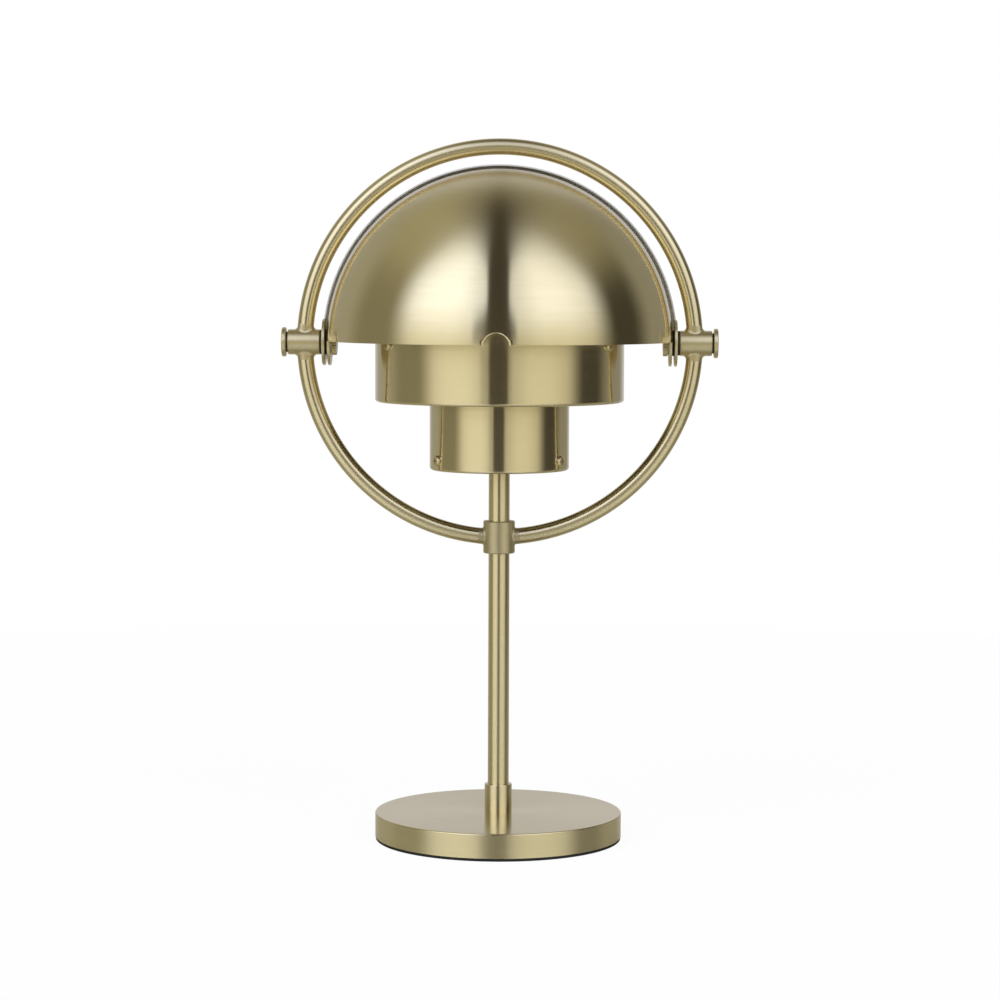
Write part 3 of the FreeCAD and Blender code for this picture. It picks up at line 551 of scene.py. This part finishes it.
BRASS = (0.80, 0.70, 0.44)
BRASS_DEEP = (0.775, 0.675, 0.415)
DULL_BRASS = (0.64, 0.56, 0.35)
DULL_BRASS_DEEP = (0.61, 0.53, 0.32)


class Finishes:
    """Every finish on the lamp, made on first use."""

    SPUN = Metal("spun_brass", BRASS, BRASS_DEEP, 0.17, Grain.ROUND_STEM, 1.0, length=0.15,
                 depth=0.0012 * MM, lacquer=0.2)
    DISC = Metal("disc_brass", BRASS, BRASS_DEEP, 0.22, Grain.ROUND_STEM, 0.6, length=0.5, lacquer=0.2)
    DRAWN = Metal("drawn_brass", BRASS, BRASS_DEEP, 0.26, Grain.ALONG_RING, 0.9, turn=0.0, tangent="Y",
                  spacing=1.2 * MM, length=0.4, depth=0.00005 * MM, lacquer=0.2)
    TURNED = Metal("turned_brass", BRASS, BRASS_DEEP, 0.40, Grain.ROUND_PIVOT, 0.9, tangent="X",
                   depth=0.0002 * MM, lacquer=0.2)
    FITTING = Metal("fitting_brass", BRASS, BRASS_DEEP, 0.25, Grain.ROUND_STEM, 0.8, depth=0.0002 * MM,
                    lacquer=0.2)
    SATIN = Metal("satin_brass", DULL_BRASS, DULL_BRASS_DEEP, 0.42, Grain.ROUND_STEM, depth=0.0002 * MM)
    SCREW = Metal("screw_brass", BRASS, BRASS_DEEP, 0.25, Grain.ROUND_STEM, spacing=0.4 * MM)
    ZINC = Metal("zinc_plate", (0.62, 0.62, 0.60), (0.48, 0.48, 0.45), 0.32, Grain.ROUND_STEM,
                 spacing=0.5 * MM)
    PLATED = Metal("plated_cap", (0.72, 0.72, 0.72), (0.55, 0.55, 0.53), 0.25, Grain.ROUND_STEM)
    FIBRE = Moulding("black_fibre", (0.012, 0.011, 0.010), (0.030, 0.027, 0.022), 0.6)
    RUBBER = Moulding("pad_rubber", (0.010, 0.010, 0.010), (0.022, 0.021, 0.020), 0.75)
    CAST = Moulding("cast_iron", (0.09, 0.09, 0.095), (0.05, 0.05, 0.055), 0.7, depth=0.15 * MM,
                    metallic=0.6)
    BLACK = Moulding("black_moulding", (0.02, 0.02, 0.02), (0.035, 0.035, 0.035), 0.45)
    WHITE = Moulding("white_moulding", (0.80, 0.79, 0.75), (0.72, 0.71, 0.67), 0.4)
    SLEEVE = Moulding("wire_sleeve", (0.70, 0.70, 0.68), (0.60, 0.60, 0.57), 0.5)
    ENAMEL = Moulding("white_enamel", (0.88, 0.88, 0.88), (0.85, 0.85, 0.85), 0.35, depth=0.002 * MM)
    OPAL = Moulding("opal_glass", (0.90, 0.89, 0.86), (0.86, 0.85, 0.82), 0.12, depth=0.002 * MM)

    def __init__(self) -> None:
        """Build the shared groups; materials follow when first asked for."""
        self.groups = Groups()
        self.made: dict[str, bpy.types.Material] = {}

    def get(self, finish: Finish) -> bpy.types.Material:
        """Return a finish's material."""
        if finish.name not in self.made:
            self.made[finish.name] = finish.build(self.groups)
        return self.made[finish.name]


# ---------------------------------------------------------------- sub-assemblies
class SubAssembly:
    """Common ground of the lamp's sub-assemblies."""

    finishes: Finishes

    def place(self, name: str, bm: bmesh.types.BMesh, finish: Finish, slot: str,
              node: str) -> bpy.types.Object:
        """Make a piece, dress it, let it stand for its node and ride on the node's body.

        Args:
            name: The piece's name.
            bm: Its mesh; it is freed.
            finish: Its finish.
            slot: The record's material slot; not used.
            node: The node that it stands for.

        Returns:
            The new object.
        """
        piece = add_piece(name, bm)
        piece.data.materials.append(self.finishes.get(finish))
        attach(piece, body_of_node(node))
        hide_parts(node)
        LOG.info("%s: %d faces, stands for %s", name, len(piece.data.polygons), node)
        return piece

    def keep(self, finish: Finish, *nodes: str) -> None:
        """Keep nodes whose shape is right and give them a finish."""
        for node in nodes:
            for slot in frame["nodes"][node].material_slots:
                slot.material = self.finishes.get(finish)
            LOG.info("%s: kept, %s", node, finish.name)


@dataclass
class Base(SubAssembly):
    """Weighted base with its wiring space and cord inlet."""

    finishes: Finishes
    pad_radius: float = 88.0 * MM
    pad_roll: float = 0.4 * MM
    steps: int = 256

    def build(self) -> None:
        """Make the pad and dress the rest."""
        low, high = heights_of("base_pad")
        outline = [(0.0, low)]
        middle = (self.pad_radius - self.pad_roll, low + self.pad_roll)
        outline += arc(middle, self.pad_roll, -90, 0, EDGE_STEPS)
        outline += [(self.pad_radius, high), (0.0, high)]
        pad = spin(outline, Axis.STEM, self.steps, RIGHT)
        self.place("moulded_base_pad", pad, Finishes.RUBBER, "pad_rubber", "base_pad")
        self.keep(Finishes.DISC, "base_cover")
        self.keep(Finishes.CAST, "base_weight")
        self.keep(Finishes.BLACK, "cord_inlet_bush", "terminal_block")
        self.keep(Finishes.ZINC, "foot_nut", "foot_washer", "foot_nipple", "terminal_screws")
        self.keep(Finishes.SCREW, "foot_bush")
        self.keep(Finishes.SLEEVE, "internal_wires")


@dataclass
class Stem(SubAssembly):
    """Stem tube with its foot collar and its threaded ends."""

    finishes: Finishes
    radius: float = 7.5 * MM
    wall: float = 1.5 * MM
    collar_radius: float = 9.75 * MM
    edge: float = 0.5 * MM
    steps: int = 96

    def build(self) -> None:
        """Make the tube and the collar, and dress the threaded ends."""
        low, high = heights_of("stem_tube")
        bore = self.radius - self.wall
        outline = [(self.radius, low), (self.radius, high), (bore, high), (bore, low)]
        tube = spin(outline, Axis.STEM, self.steps, RIGHT)
        self.place("drawn_stem_tube", tube, Finishes.FITTING, BRUSHED, "stem_tube")
        low, high = heights_of("base_collar")
        shoulder = self.collar_radius - self.edge
        outline = [(self.radius, low), (self.collar_radius, low)]
        outline += arc((shoulder, high - self.edge), self.edge, 0, 90, EDGE_STEPS)
        outline += [(self.radius, high)]
        collar = spin(outline, Axis.STEM, self.steps, RIGHT)
        self.place("turned_foot_collar", collar, Finishes.FITTING, BRUSHED, "base_collar")
        self.keep(Finishes.SCREW, "top_bush")
        self.keep(Finishes.ZINC, "top_nipple")


@dataclass
class Ring(SubAssembly):
    """The ring's three tubes, its collar and its two pivot bosses."""

    finishes: Finishes
    bend: float = 138.5 * MM
    tube_radius: float = 5.75 * MM
    wall: float = 1.2 * MM
    boss_reach: float = 12.5 * MM
    collar_reach: float = 14.75 * MM
    round_steps: int = 64
    degrees_per_step: float = 0.5

    def tube(self, name: str, node: str, first: float, last: float) -> None:
        """Make one length of the ring's hollow tube.

        Args:
            name: The piece's name.
            node: The node that it stands for.
            first: Angle of one end, in degrees from the right towards the top.
            last: Angle of the other end.
        """
        bm = bmesh.new()
        for radius in (self.tube_radius, self.tube_radius - self.wall):
            bmesh.ops.create_circle(bm, cap_ends=False, segments=self.round_steps, radius=radius)
        bmesh.ops.bridge_loops(bm, edges=bm.edges[:])
        bmesh.ops.translate(bm, verts=bm.verts, vec=(self.bend, 0, 0))
        turned = Matrix.Rotation(math.radians(-first), 4, "Y")
        bmesh.ops.transform(bm, verts=bm.verts, matrix=Matrix.Translation(pivot_point()) @ turned)
        steps = max(1, round((last - first) / self.degrees_per_step))
        bmesh.ops.spin(bm, geom=bm.verts[:] + bm.edges[:] + bm.faces[:], cent=pivot_point(), axis=FRONT,
                       angle=math.radians(last - first), steps=steps, use_merge=False, use_duplicate=False)
        bmesh.ops.recalc_face_normals(bm, faces=bm.faces)
        piece = self.place(name, bm, Finishes.DRAWN, BRUSHED, node)
        centre_finish(piece, self.bend)

    def build(self) -> None:
        """Make the tubes and dress the collar and bosses."""
        boss = math.degrees(self.boss_reach / self.bend)
        collar = math.degrees(self.collar_reach / self.bend)
        self.tube("upper_ring_tube", "ring_upper_tube", boss, 180 - boss)
        self.tube("lower_left_ring_tube", "ring_lower_left_tube", 180 + boss, 270 - collar)
        self.tube("lower_right_ring_tube", "ring_lower_right_tube", 270 + collar, 360 - boss)
        self.keep(Finishes.SATIN, "ring_collar")
        self.keep(Finishes.ZINC, "collar_grub_screw")
        self.keep(Finishes.TURNED, "pivot_boss_left", "pivot_boss_right")


@dataclass
class Pivots(SubAssembly):
    """Knobs, knurled nuts, bolts and washers on the shades' axis."""

    finishes: Finishes
    knob_radius: float = 10.5 * MM
    knob_edge: float = 1.0 * MM
    knob_dish: float = 0.25 * MM
    knob_edge_steps: int = 6
    nut_radius: float = 9.25 * MM
    tooth: float = 0.45 * MM
    teeth: int = 32
    steps_per_tooth: int = 4
    nut_edge: float = 0.25 * MM
    bore: float = 3.05 * MM
    steps: int = 96

    def build(self) -> None:
        """Make knobs and nuts on both sides, and dress the bolts and washers."""
        for side in ("right", "left"):
            self.on_side(self.knob(), "turned_pivot_knob_", "pivot_knob_", side)
            self.on_side(self.nut(), "knurled_finger_nut_", "knurled_nut_", side)
            self.keep(Finishes.ZINC, "pivot_bolt_" + side)
        self.keep(Finishes.FIBRE, "knob_washers", "boss_washers", "ear_washers")
        self.keep(Finishes.ZINC, "spring_washers")

    def on_side(self, bm: bmesh.types.BMesh, name: str, node: str, side: str) -> None:
        """Place a right-hand mesh on one side."""
        if side == "left":
            bm = mirrored(bm)
        self.place(name + side, bm, Finishes.TURNED, TURNED, node + side)

    def knob(self) -> bmesh.types.BMesh:
        """Spin the right-hand knob, with a shallow turned dish in its face."""
        near, far = span_of("pivot_knob_right")
        rim = self.knob_radius - self.knob_edge
        outline = [(0.0, near)]
        outline += arc((rim, near + self.knob_edge), self.knob_edge, -90, 0, self.knob_edge_steps)
        outline += arc((rim, far - self.knob_edge), self.knob_edge, 0, 90, self.knob_edge_steps)
        outline += [(rim - self.knob_edge, far - self.knob_dish), (0.0, far - self.knob_dish)]
        return spin(outline, Axis.PIVOT, self.steps, FRONT, centre=level_with_pivot())

    def nut(self) -> bmesh.types.BMesh:
        """Spin the right-hand nut's blank, then press its teeth in and break its edges."""
        near, far = span_of("knurled_nut_right")
        cut = self.nut_edge
        outline = [(self.bore, near), (self.nut_radius - cut, near), (self.nut_radius, near + cut),
                   (self.nut_radius, far - cut), (self.nut_radius - cut, far), (self.bore, far)]
        bm = spin(outline, Axis.PIVOT, self.teeth * self.steps_per_tooth, FRONT, centre=level_with_pivot())
        for vert in bm.verts:
            away = vert.co - level_with_pivot()
            away.x = 0
            if away.length < self.nut_radius - 2 * cut:
                continue
            turn = math.atan2(away.z, away.y) * self.teeth
            vert.co -= away.normalized() * self.tooth * (0.5 + 0.5 * math.cos(turn))
        return bm


@dataclass
class Shades(SubAssembly):
    """The two quarter-sphere shades with their ears."""

    finishes: Finishes
    front_radius: float = 123.0 * MM
    rear_radius: float = 126.0 * MM
    wall: float = 1.0 * MM
    ear_radius: float = 16.5 * MM
    ear_edge: float = 0.5 * MM
    bore: float = 3.05 * MM
    rim_rise: float = 1.0 * MM
    notch_radius: float = 9.0 * MM
    rim_round: float = 0.42 * MM
    rim_angle: float = 70.0
    break_width: float = 0.8 * MM
    break_depth: float = 0.4 * MM
    cone_inside: float = 1.0 * MM
    cone_outside: float = 3.0 * MM
    round_steps: int = 96
    arc_steps: int = 128

    def build(self) -> None:
        """Make both shells and all four ears."""
        shells = (("front", self.front_radius, FRONT), ("rear", self.rear_radius, -FRONT))
        for which, radius, facing in shells:
            bm = self.shell(radius, facing)
            piece = self.place("spun_" + which + "_shell", bm, Finishes.SPUN, BRUSHED, which + "_shade")
            centre_finish(piece, radius)
            self.set_round_normals(piece, radius)
            bare = self.wall / 2 if facing is FRONT else 2 * SAME
            self.paint_inside(piece, radius - bare)
            for side in ("right", "left"):
                node = which + "_shade_ear_" + side
                ear = self.ear(*span_of(which + "_shade_ear_right"))
                if side == "left":
                    ear = mirrored(ear)
                self.place("turned_" + which + "_ear_" + side, ear, Finishes.TURNED, TURNED, node)

    def shell(self, radius: float, facing: Vector) -> bmesh.types.BMesh:
        """Spin one shell, level its rim and cut its notch.

        Args:
            radius: Outside radius.
            facing: The side that it covers.

        Returns:
            The shell's mesh.
        """
        inner = radius - self.wall
        outer_end = math.degrees(math.acos(self.ear_radius / radius))
        inner_end = math.degrees(math.acos(self.ear_radius / inner))
        outline = arc((0, 0), radius, -outer_end, outer_end, self.arc_steps)
        outline += arc((0, 0), inner, inner_end, -inner_end, self.arc_steps)
        sweep = -90 if facing is FRONT else 90
        bm = spin(outline, Axis.PIVOT, self.round_steps, facing, sweep, centre=pivot_point())
        rim = pivot_point() + Vector((0, 0, self.rim_rise))
        bmesh.ops.bisect_plane(bm, geom=bm.verts[:] + bm.edges[:] + bm.faces[:], plane_co=rim,
                               plane_no=(0, 0, -1), clear_outer=True)
        bmesh.ops.edgenet_fill(bm, edges=[edge for edge in bm.edges if edge.is_boundary])
        bmesh.ops.recalc_face_normals(bm, faces=bm.faces)
        bm = cut_away(bm, self.notch(radius, facing))
        bm = cut_away(bm, self.countersink(radius, facing))
        round_edges(bm, self.rim_round, self.rim_angle)
        return bm

    def notch(self, radius: float, facing: Vector) -> bmesh.types.BMesh:
        """Make the rod that cuts a shell's notch."""
        bm = bmesh.new()
        turn = Matrix.Rotation(math.radians(90), 4, "X")
        bmesh.ops.create_cone(bm, cap_ends=True, segments=self.round_steps, radius1=self.notch_radius,
                              radius2=self.notch_radius, depth=radius / 2, matrix=turn)
        bmesh.ops.translate(bm, verts=bm.verts, vec=pivot_point() + facing * radius)
        return bm

    def countersink(self, radius: float, facing: Vector) -> bmesh.types.BMesh:
        """Make the cone that breaks the notch's outer edge.

        Args:
            radius: The shell's outside radius.
            facing: The side that the shell covers, towards which the cone widens.

        Returns:
            The cone's mesh.
        """
        bm = bmesh.new()
        surface = math.sqrt(radius ** 2 - self.notch_radius ** 2)
        slope = self.break_width / self.break_depth
        narrow = self.notch_radius - slope * self.cone_inside
        wide = self.notch_radius + slope * self.cone_outside
        ends = (narrow, wide) if facing is FRONT else (wide, narrow)
        turn = Matrix.Rotation(math.radians(90), 4, "X")
        bmesh.ops.create_cone(bm, cap_ends=True, segments=self.round_steps, radius1=ends[0],
                              radius2=ends[1], depth=self.cone_inside + self.cone_outside, matrix=turn)
        middle = surface - self.break_depth + (self.cone_outside - self.cone_inside) / 2
        bmesh.ops.translate(bm, verts=bm.verts, vec=pivot_point() + facing * middle)
        return bm

    def paint_inside(self, piece: bpy.types.Object, limit: float) -> None:
        """Give a shell's hollow side, and its rim as far out as the limit, white enamel.

        Args:
            piece: The shell.
            limit: Distance from the shades' centre within which a face with a corner is painted.
        """
        mesh = piece.data
        mesh.materials.append(self.finishes.get(Finishes.ENAMEL))
        for face in mesh.polygons:
            corners = (mesh.vertices[index].co for index in face.vertices)
            if any((corner - pivot_point()).length < limit for corner in corners):
                face.material_index = 1

    def ear(self, near: float, far: float) -> bmesh.types.BMesh:
        """Spin a right-hand ear between two distances."""
        shoulder = self.ear_radius - self.ear_edge
        outline = [(self.bore, near)]
        outline += arc((shoulder, near + self.ear_edge), self.ear_edge, -90, 0, EDGE_STEPS)
        outline += arc((shoulder, far - self.ear_edge), self.ear_edge, 0, 90, EDGE_STEPS)
        outline += [(self.bore, far)]
        return spin(outline, Axis.PIVOT, self.round_steps, FRONT, centre=level_with_pivot())

    def set_round_normals(self, piece: bpy.types.Object, radius: float) -> None:
        """Give the faces of a shell that lie on its two spheres the spheres' own normals."""
        mesh = piece.data
        middle = pivot_point()
        normals = [Vector(corner.vector) for corner in mesh.corner_normals]
        for face in mesh.polygons:
            spokes = [mesh.vertices[index].co - middle for index in face.vertices]
            for sphere, sign in ((radius, 1), (radius - self.wall, -1)):
                if all(abs(spoke.length - sphere) < 2 * SAME for spoke in spokes):
                    for loop, spoke in zip(face.loop_indices, spokes):
                        normals[loop] = spoke.normalized() * sign
        mesh.normals_split_custom_set(normals)


@dataclass
class Drums(SubAssembly):
    """The two open drums with their screws, spacers and carrier."""

    finishes: Finishes

    def build(self) -> None:
        """Dress the drums and what holds them."""
        self.keep(Finishes.SPUN, "wide_drum", "narrow_drum")
        self.keep(Finishes.SCREW, "wide_drum_screws", "narrow_drum_screws", "spacer_inner_screws")
        self.keep(Finishes.SCREW, "drum_spacers", "drum_carrier")
        self.keep(Finishes.ZINC, "carrier_nut")


@dataclass
class BulbAndHolder(SubAssembly):
    """Lampholder and bulb inside the narrow drum."""

    finishes: Finishes

    def build(self) -> None:
        """Dress the lampholder and the bulb."""
        self.keep(Finishes.WHITE, "lampholder_cap", "lampholder_shell", "lampholder_core")
        self.keep(Finishes.SCREW, "lampholder_sleeve", "lampholder_contact")
        self.keep(Finishes.PLATED, "bulb_cap")
        self.keep(Finishes.OPAL, "bulb_globe")


# ---------------------------------------------------------------- studio
@dataclass
class Studio:
    """Pale floor, two tall soft panels either side of the camera, and the camera."""

    left_low_light: Colour = (0.85, 0.81, 0.645)
    right_low_light: Colour = (0.73, 0.69, 0.52)
    left_high_light: Colour = (1.48, 1.57, 1.92)
    right_high_light: Colour = (1.32, 1.38, 1.62)
    left_ceiling_light: Colour = (0.40, 0.38, 0.27)
    right_ceiling_light: Colour = (0.31, 0.29, 0.21)
    backdrop_light: Colour = (0.58, 0.575, 0.60)
    gap_light: Colour = (0.060, 0.052, 0.042)
    left_gap_light: Colour = (0.25, 0.235, 0.17)
    right_gap_light: Colour = (0.055, 0.05, 0.04)
    left_flank_light: Colour = (0.38, 0.37, 0.31)
    right_flank_light: Colour = (0.29, 0.28, 0.24)
    left_end: float = 70.0
    right_end: float = 75.0
    panel_fade: float = 11.0
    middle_soft: float = 4.0
    panel_strength: float = 0.68
    hot_gain: float = 0.32
    hot_start: Ramp = (6, 34)
    hot_end: Ramp = (44, 80)
    high_start: Ramp = (-2, 24)
    flank_start: Ramp = (100, 124)
    backdrop_start: Ramp = (146, 168)
    ceiling_soft: float = 30.0
    ceiling_start: Ramp = (46, 94)
    ceiling_end: Ramp = (112, 150)
    ceiling_rise: Ramp = (22, 48)
    seam_start: Ramp = (-110, -90)
    seam_end: Ramp = (95, 140)
    seam_half: float = 8.0
    seam_step: float = -2.0
    seam_step_at: Ramp = (10, 30)
    seam_shrink: float = -7.0
    seam_shrink_at: Ramp = (45, 80)
    seam_edge: float = 1.2
    seam_soften: float = 27.0
    seam_soften_at: Ramp = (46, 80)
    flare_left: float = 8.0
    flare_change: float = -4.5
    flare_soft: float = 2.0
    flare_start: Ramp = (0, 4)
    flare_end: Ramp = (9, 25)
    floor_reach: float = 1.3
    floor_steps: int = 96
    floor_glow: float = 0.92
    floor_shade: float = 0.14
    floor_gloss: float = 0.55
    floor_gloss_roughness: float = 0.25
    floor_matt_colour: Colour = (0.85, 0.83, 0.72)
    floor_gloss_colour: Colour = (0.9, 0.88, 0.74)
    lens: float = 103.7
    sensor: float = 36.0
    camera_distance: float = 2.050
    camera_height: float = 0.4036
    camera_side: float = 1.15
    camera_pitch: float = 4.463
    camera_roll: float = 0.2
    camera_shift: float = 0.0008

    def build(self) -> None:
        """Set up the world, the floor and the camera."""
        self.world()
        self.floor()
        self.camera()
        bpy.context.scene.view_settings.view_transform = "Standard"

    def world(self) -> None:
        """Paint the studio by direction; straight behind the object it is plain white."""
        world = bpy.data.worlds.new("studio")
        world.use_nodes = True
        bpy.context.scene.world = world
        sheet = Sheet(world.node_tree)
        shade = world.node_tree.nodes["Background"]
        x, y, z = sheet.parts(sheet.node("ShaderNodeTexCoord").outputs["Generated"])
        front = sheet.math("MULTIPLY", y, -1.0)
        side = self.degrees(sheet, sheet.math("ARCTAN2", x, front))
        rise = self.degrees(sheet, sheet.math("ARCSINE", z))
        off = self.degrees(sheet, sheet.math("ARCSINE", x))
        over = self.degrees(sheet, sheet.math("ARCTAN2", z, front))
        colour = self.level_light(sheet, side, rise)
        ceiling = self.across(sheet, off, self.ceiling_soft, self.left_ceiling_light,
                              self.right_ceiling_light)
        above = self.between(sheet, over, self.ceiling_start, self.ceiling_end)
        above = sheet.math("MULTIPLY", above, sheet.smooth(rise, *self.ceiling_rise))
        colour = sheet.mix(above, colour, ceiling)
        colour = sheet.mix(self.seam(sheet, off, over), colour, (*self.gap_light, 1))
        straight = sheet.node("ShaderNodeLightPath").outputs["Is Camera Ray"]
        sheet.feed(shade.inputs["Color"], sheet.mix(straight, colour, (1, 1, 1, 1)))

    def degrees(self, sheet: Sheet, angle: bpy.types.NodeSocket) -> bpy.types.NodeSocket:
        """Angle in degrees."""
        return sheet.math("MULTIPLY", angle, 180 / math.pi)

    def between(self, sheet: Sheet, value: bpy.types.NodeSocket, start: Ramp,
                end: Ramp) -> bpy.types.NodeSocket:
        """1 from the first ramp's end to the second ramp's start, and 0 outside both."""
        return sheet.math("SUBTRACT", sheet.smooth(value, *start), sheet.smooth(value, *end))

    def across(self, sheet: Sheet, place: bpy.types.NodeSocket, soft: float, left: Colour,
               right: Colour) -> bpy.types.NodeSocket:
        """One colour on the left and another on the right, with a soft change in the middle."""
        return sheet.mix(sheet.smooth(place, -soft, soft), (*left, 1), (*right, 1))

    def level_light(self, sheet: Sheet, side: bpy.types.NodeSocket,
                    rise: bpy.types.NodeSocket) -> bpy.types.NodeSocket:
        """Colour all round below the ceiling: panels, the gaps beside them, the flanks and the backdrop.

        Args:
            sheet: The world's sheet.
            side: Degrees round the stem from straight ahead, positive to the right.
            rise: Degrees above the horizon.

        Returns:
            The colour.
        """
        away = sheet.math("ABSOLUTE", side)
        soft = self.middle_soft
        gap = self.across(sheet, side, soft, self.left_gap_light, self.right_gap_light)
        flank = self.across(sheet, side, soft, self.left_flank_light, self.right_flank_light)
        colour = sheet.mix(sheet.smooth(away, *self.flank_start), gap, flank)
        colour = sheet.mix(sheet.smooth(away, *self.backdrop_start), colour, (*self.backdrop_light, 1))
        low = self.across(sheet, side, soft, self.left_low_light, self.right_low_light)
        high = self.across(sheet, side, soft, self.left_high_light, self.right_high_light)
        hot = self.between(sheet, away, self.hot_start, self.hot_end)
        strength = sheet.math("MULTIPLY_ADD", hot, self.hot_gain, self.panel_strength)
        panel = sheet.scale(sheet.mix(sheet.smooth(rise, *self.high_start), low, high), strength)
        end = sheet.math("MULTIPLY_ADD", sheet.smooth(side, -soft, soft), self.right_end - self.left_end,
                         self.left_end)
        fade = sheet.smooth(sheet.math("SUBTRACT", away, end), -self.panel_fade, self.panel_fade)
        return sheet.mix(fade, panel, colour)

    def seam(self, sheet: Sheet, off: bpy.types.NodeSocket,
             over: bpy.types.NodeSocket) -> bpy.types.NodeSocket:
        """Mask of the dark gap between the panels; it widens low down and grows soft overhead.

        Args:
            sheet: The world's sheet.
            off: Degrees off the middle plane, positive to the right.
            over: Degrees from the front horizon over the top towards the back.

        Returns:
            The mask.
        """
        lean = sheet.math("MULTIPLY_ADD", sheet.smooth(off, -self.flare_soft, self.flare_soft),
                          self.flare_change, self.flare_left)
        flare = sheet.math("MULTIPLY", self.between(sheet, over, self.flare_start, self.flare_end), lean)
        shrink = sheet.smooth(over, *self.seam_shrink_at)
        narrow = sheet.math("MULTIPLY_ADD", shrink, self.seam_shrink, flare)
        step = sheet.smooth(over, *self.seam_step_at)
        inner = sheet.math("ADD", narrow, sheet.math("MULTIPLY_ADD", step, self.seam_step, self.seam_half))
        soften = sheet.smooth(over, *self.seam_soften_at)
        soft = sheet.math("MULTIPLY_ADD", soften, self.seam_soften, self.seam_edge)
        past = sheet.math("DIVIDE", sheet.math("SUBTRACT", sheet.math("ABSOLUTE", off), inner), soft)
        reach = self.between(sheet, over, self.seam_start, self.seam_end)
        return sheet.math("MULTIPLY", reach, sheet.math("SUBTRACT", 1.0, sheet.smooth(past, 0, 1)))

    def floor(self) -> None:
        """Lay a pale floor that looks white and keeps a faint shadow."""
        bm = bmesh.new()
        bmesh.ops.create_circle(bm, cap_ends=True, segments=self.floor_steps, radius=self.floor_reach)
        floor = add_piece("floor", bm)
        material = bpy.data.materials.new("pale_floor")
        material.use_nodes = True
        sheet = Sheet(material.node_tree)
        end = material.node_tree.nodes["Material Output"]
        material.node_tree.nodes.remove(material.node_tree.nodes["Principled BSDF"])
        glow = sheet.node("ShaderNodeEmission")
        glow.inputs["Strength"].default_value = self.floor_glow
        shade = sheet.node("ShaderNodeBsdfDiffuse")
        shade.inputs["Color"].default_value = (self.floor_shade, self.floor_shade, self.floor_shade, 1)
        seen = sheet.node("ShaderNodeAddShader")
        sheet.feed(seen.inputs[0], glow.outputs[0])
        sheet.feed(seen.inputs[1], shade.outputs[0])
        plain = sheet.node("ShaderNodeMixShader")
        plain.inputs[0].default_value = self.floor_gloss
        matt = sheet.node("ShaderNodeBsdfDiffuse")
        matt.inputs["Color"].default_value = (*self.floor_matt_colour, 1)
        gloss = sheet.node("ShaderNodeBsdfAnisotropic")
        gloss.inputs["Roughness"].default_value = self.floor_gloss_roughness
        gloss.inputs["Color"].default_value = (*self.floor_gloss_colour, 1)
        sheet.feed(plain.inputs[1], matt.outputs[0])
        sheet.feed(plain.inputs[2], gloss.outputs[0])
        choice = sheet.node("ShaderNodeMixShader")
        sheet.feed(choice.inputs[0], sheet.node("ShaderNodeLightPath").outputs["Is Camera Ray"])
        sheet.feed(choice.inputs[1], plain.outputs[0])
        sheet.feed(choice.inputs[2], seen.outputs[0])
        sheet.feed(end.inputs["Surface"], choice.outputs[0])
        floor.data.materials.append(material)

    def camera(self) -> None:
        """Set the camera where the photograph was taken from."""
        data = bpy.data.cameras.new("camera")
        data.lens = self.lens
        data.sensor_width = self.sensor
        data.shift_x = self.camera_shift
        camera = bpy.data.objects.new("camera", data)
        bpy.context.scene.collection.objects.link(camera)
        round_lamp = Matrix.Rotation(math.radians(self.camera_side), 4, "Z")
        stand_off = Matrix.Translation((0, -self.camera_distance, self.camera_height))
        tilt = Matrix.Rotation(math.radians(90 - self.camera_pitch), 4, "X")
        roll = Matrix.Rotation(math.radians(self.camera_roll), 4, "Z")
        camera.matrix_world = round_lamp @ stand_off @ tilt @ roll
        bpy.context.scene.camera = camera


def main() -> None:
    """Build the studio and every sub-assembly."""
    finishes = Finishes()
    Studio().build()
    for maker in (Base, Stem, Ring, Pivots, Shades, Drums, BulbAndHolder):
        maker(finishes).build()
        LOG.info("%s finished", maker.__name__)


if __name__ == "__main__":
    main()
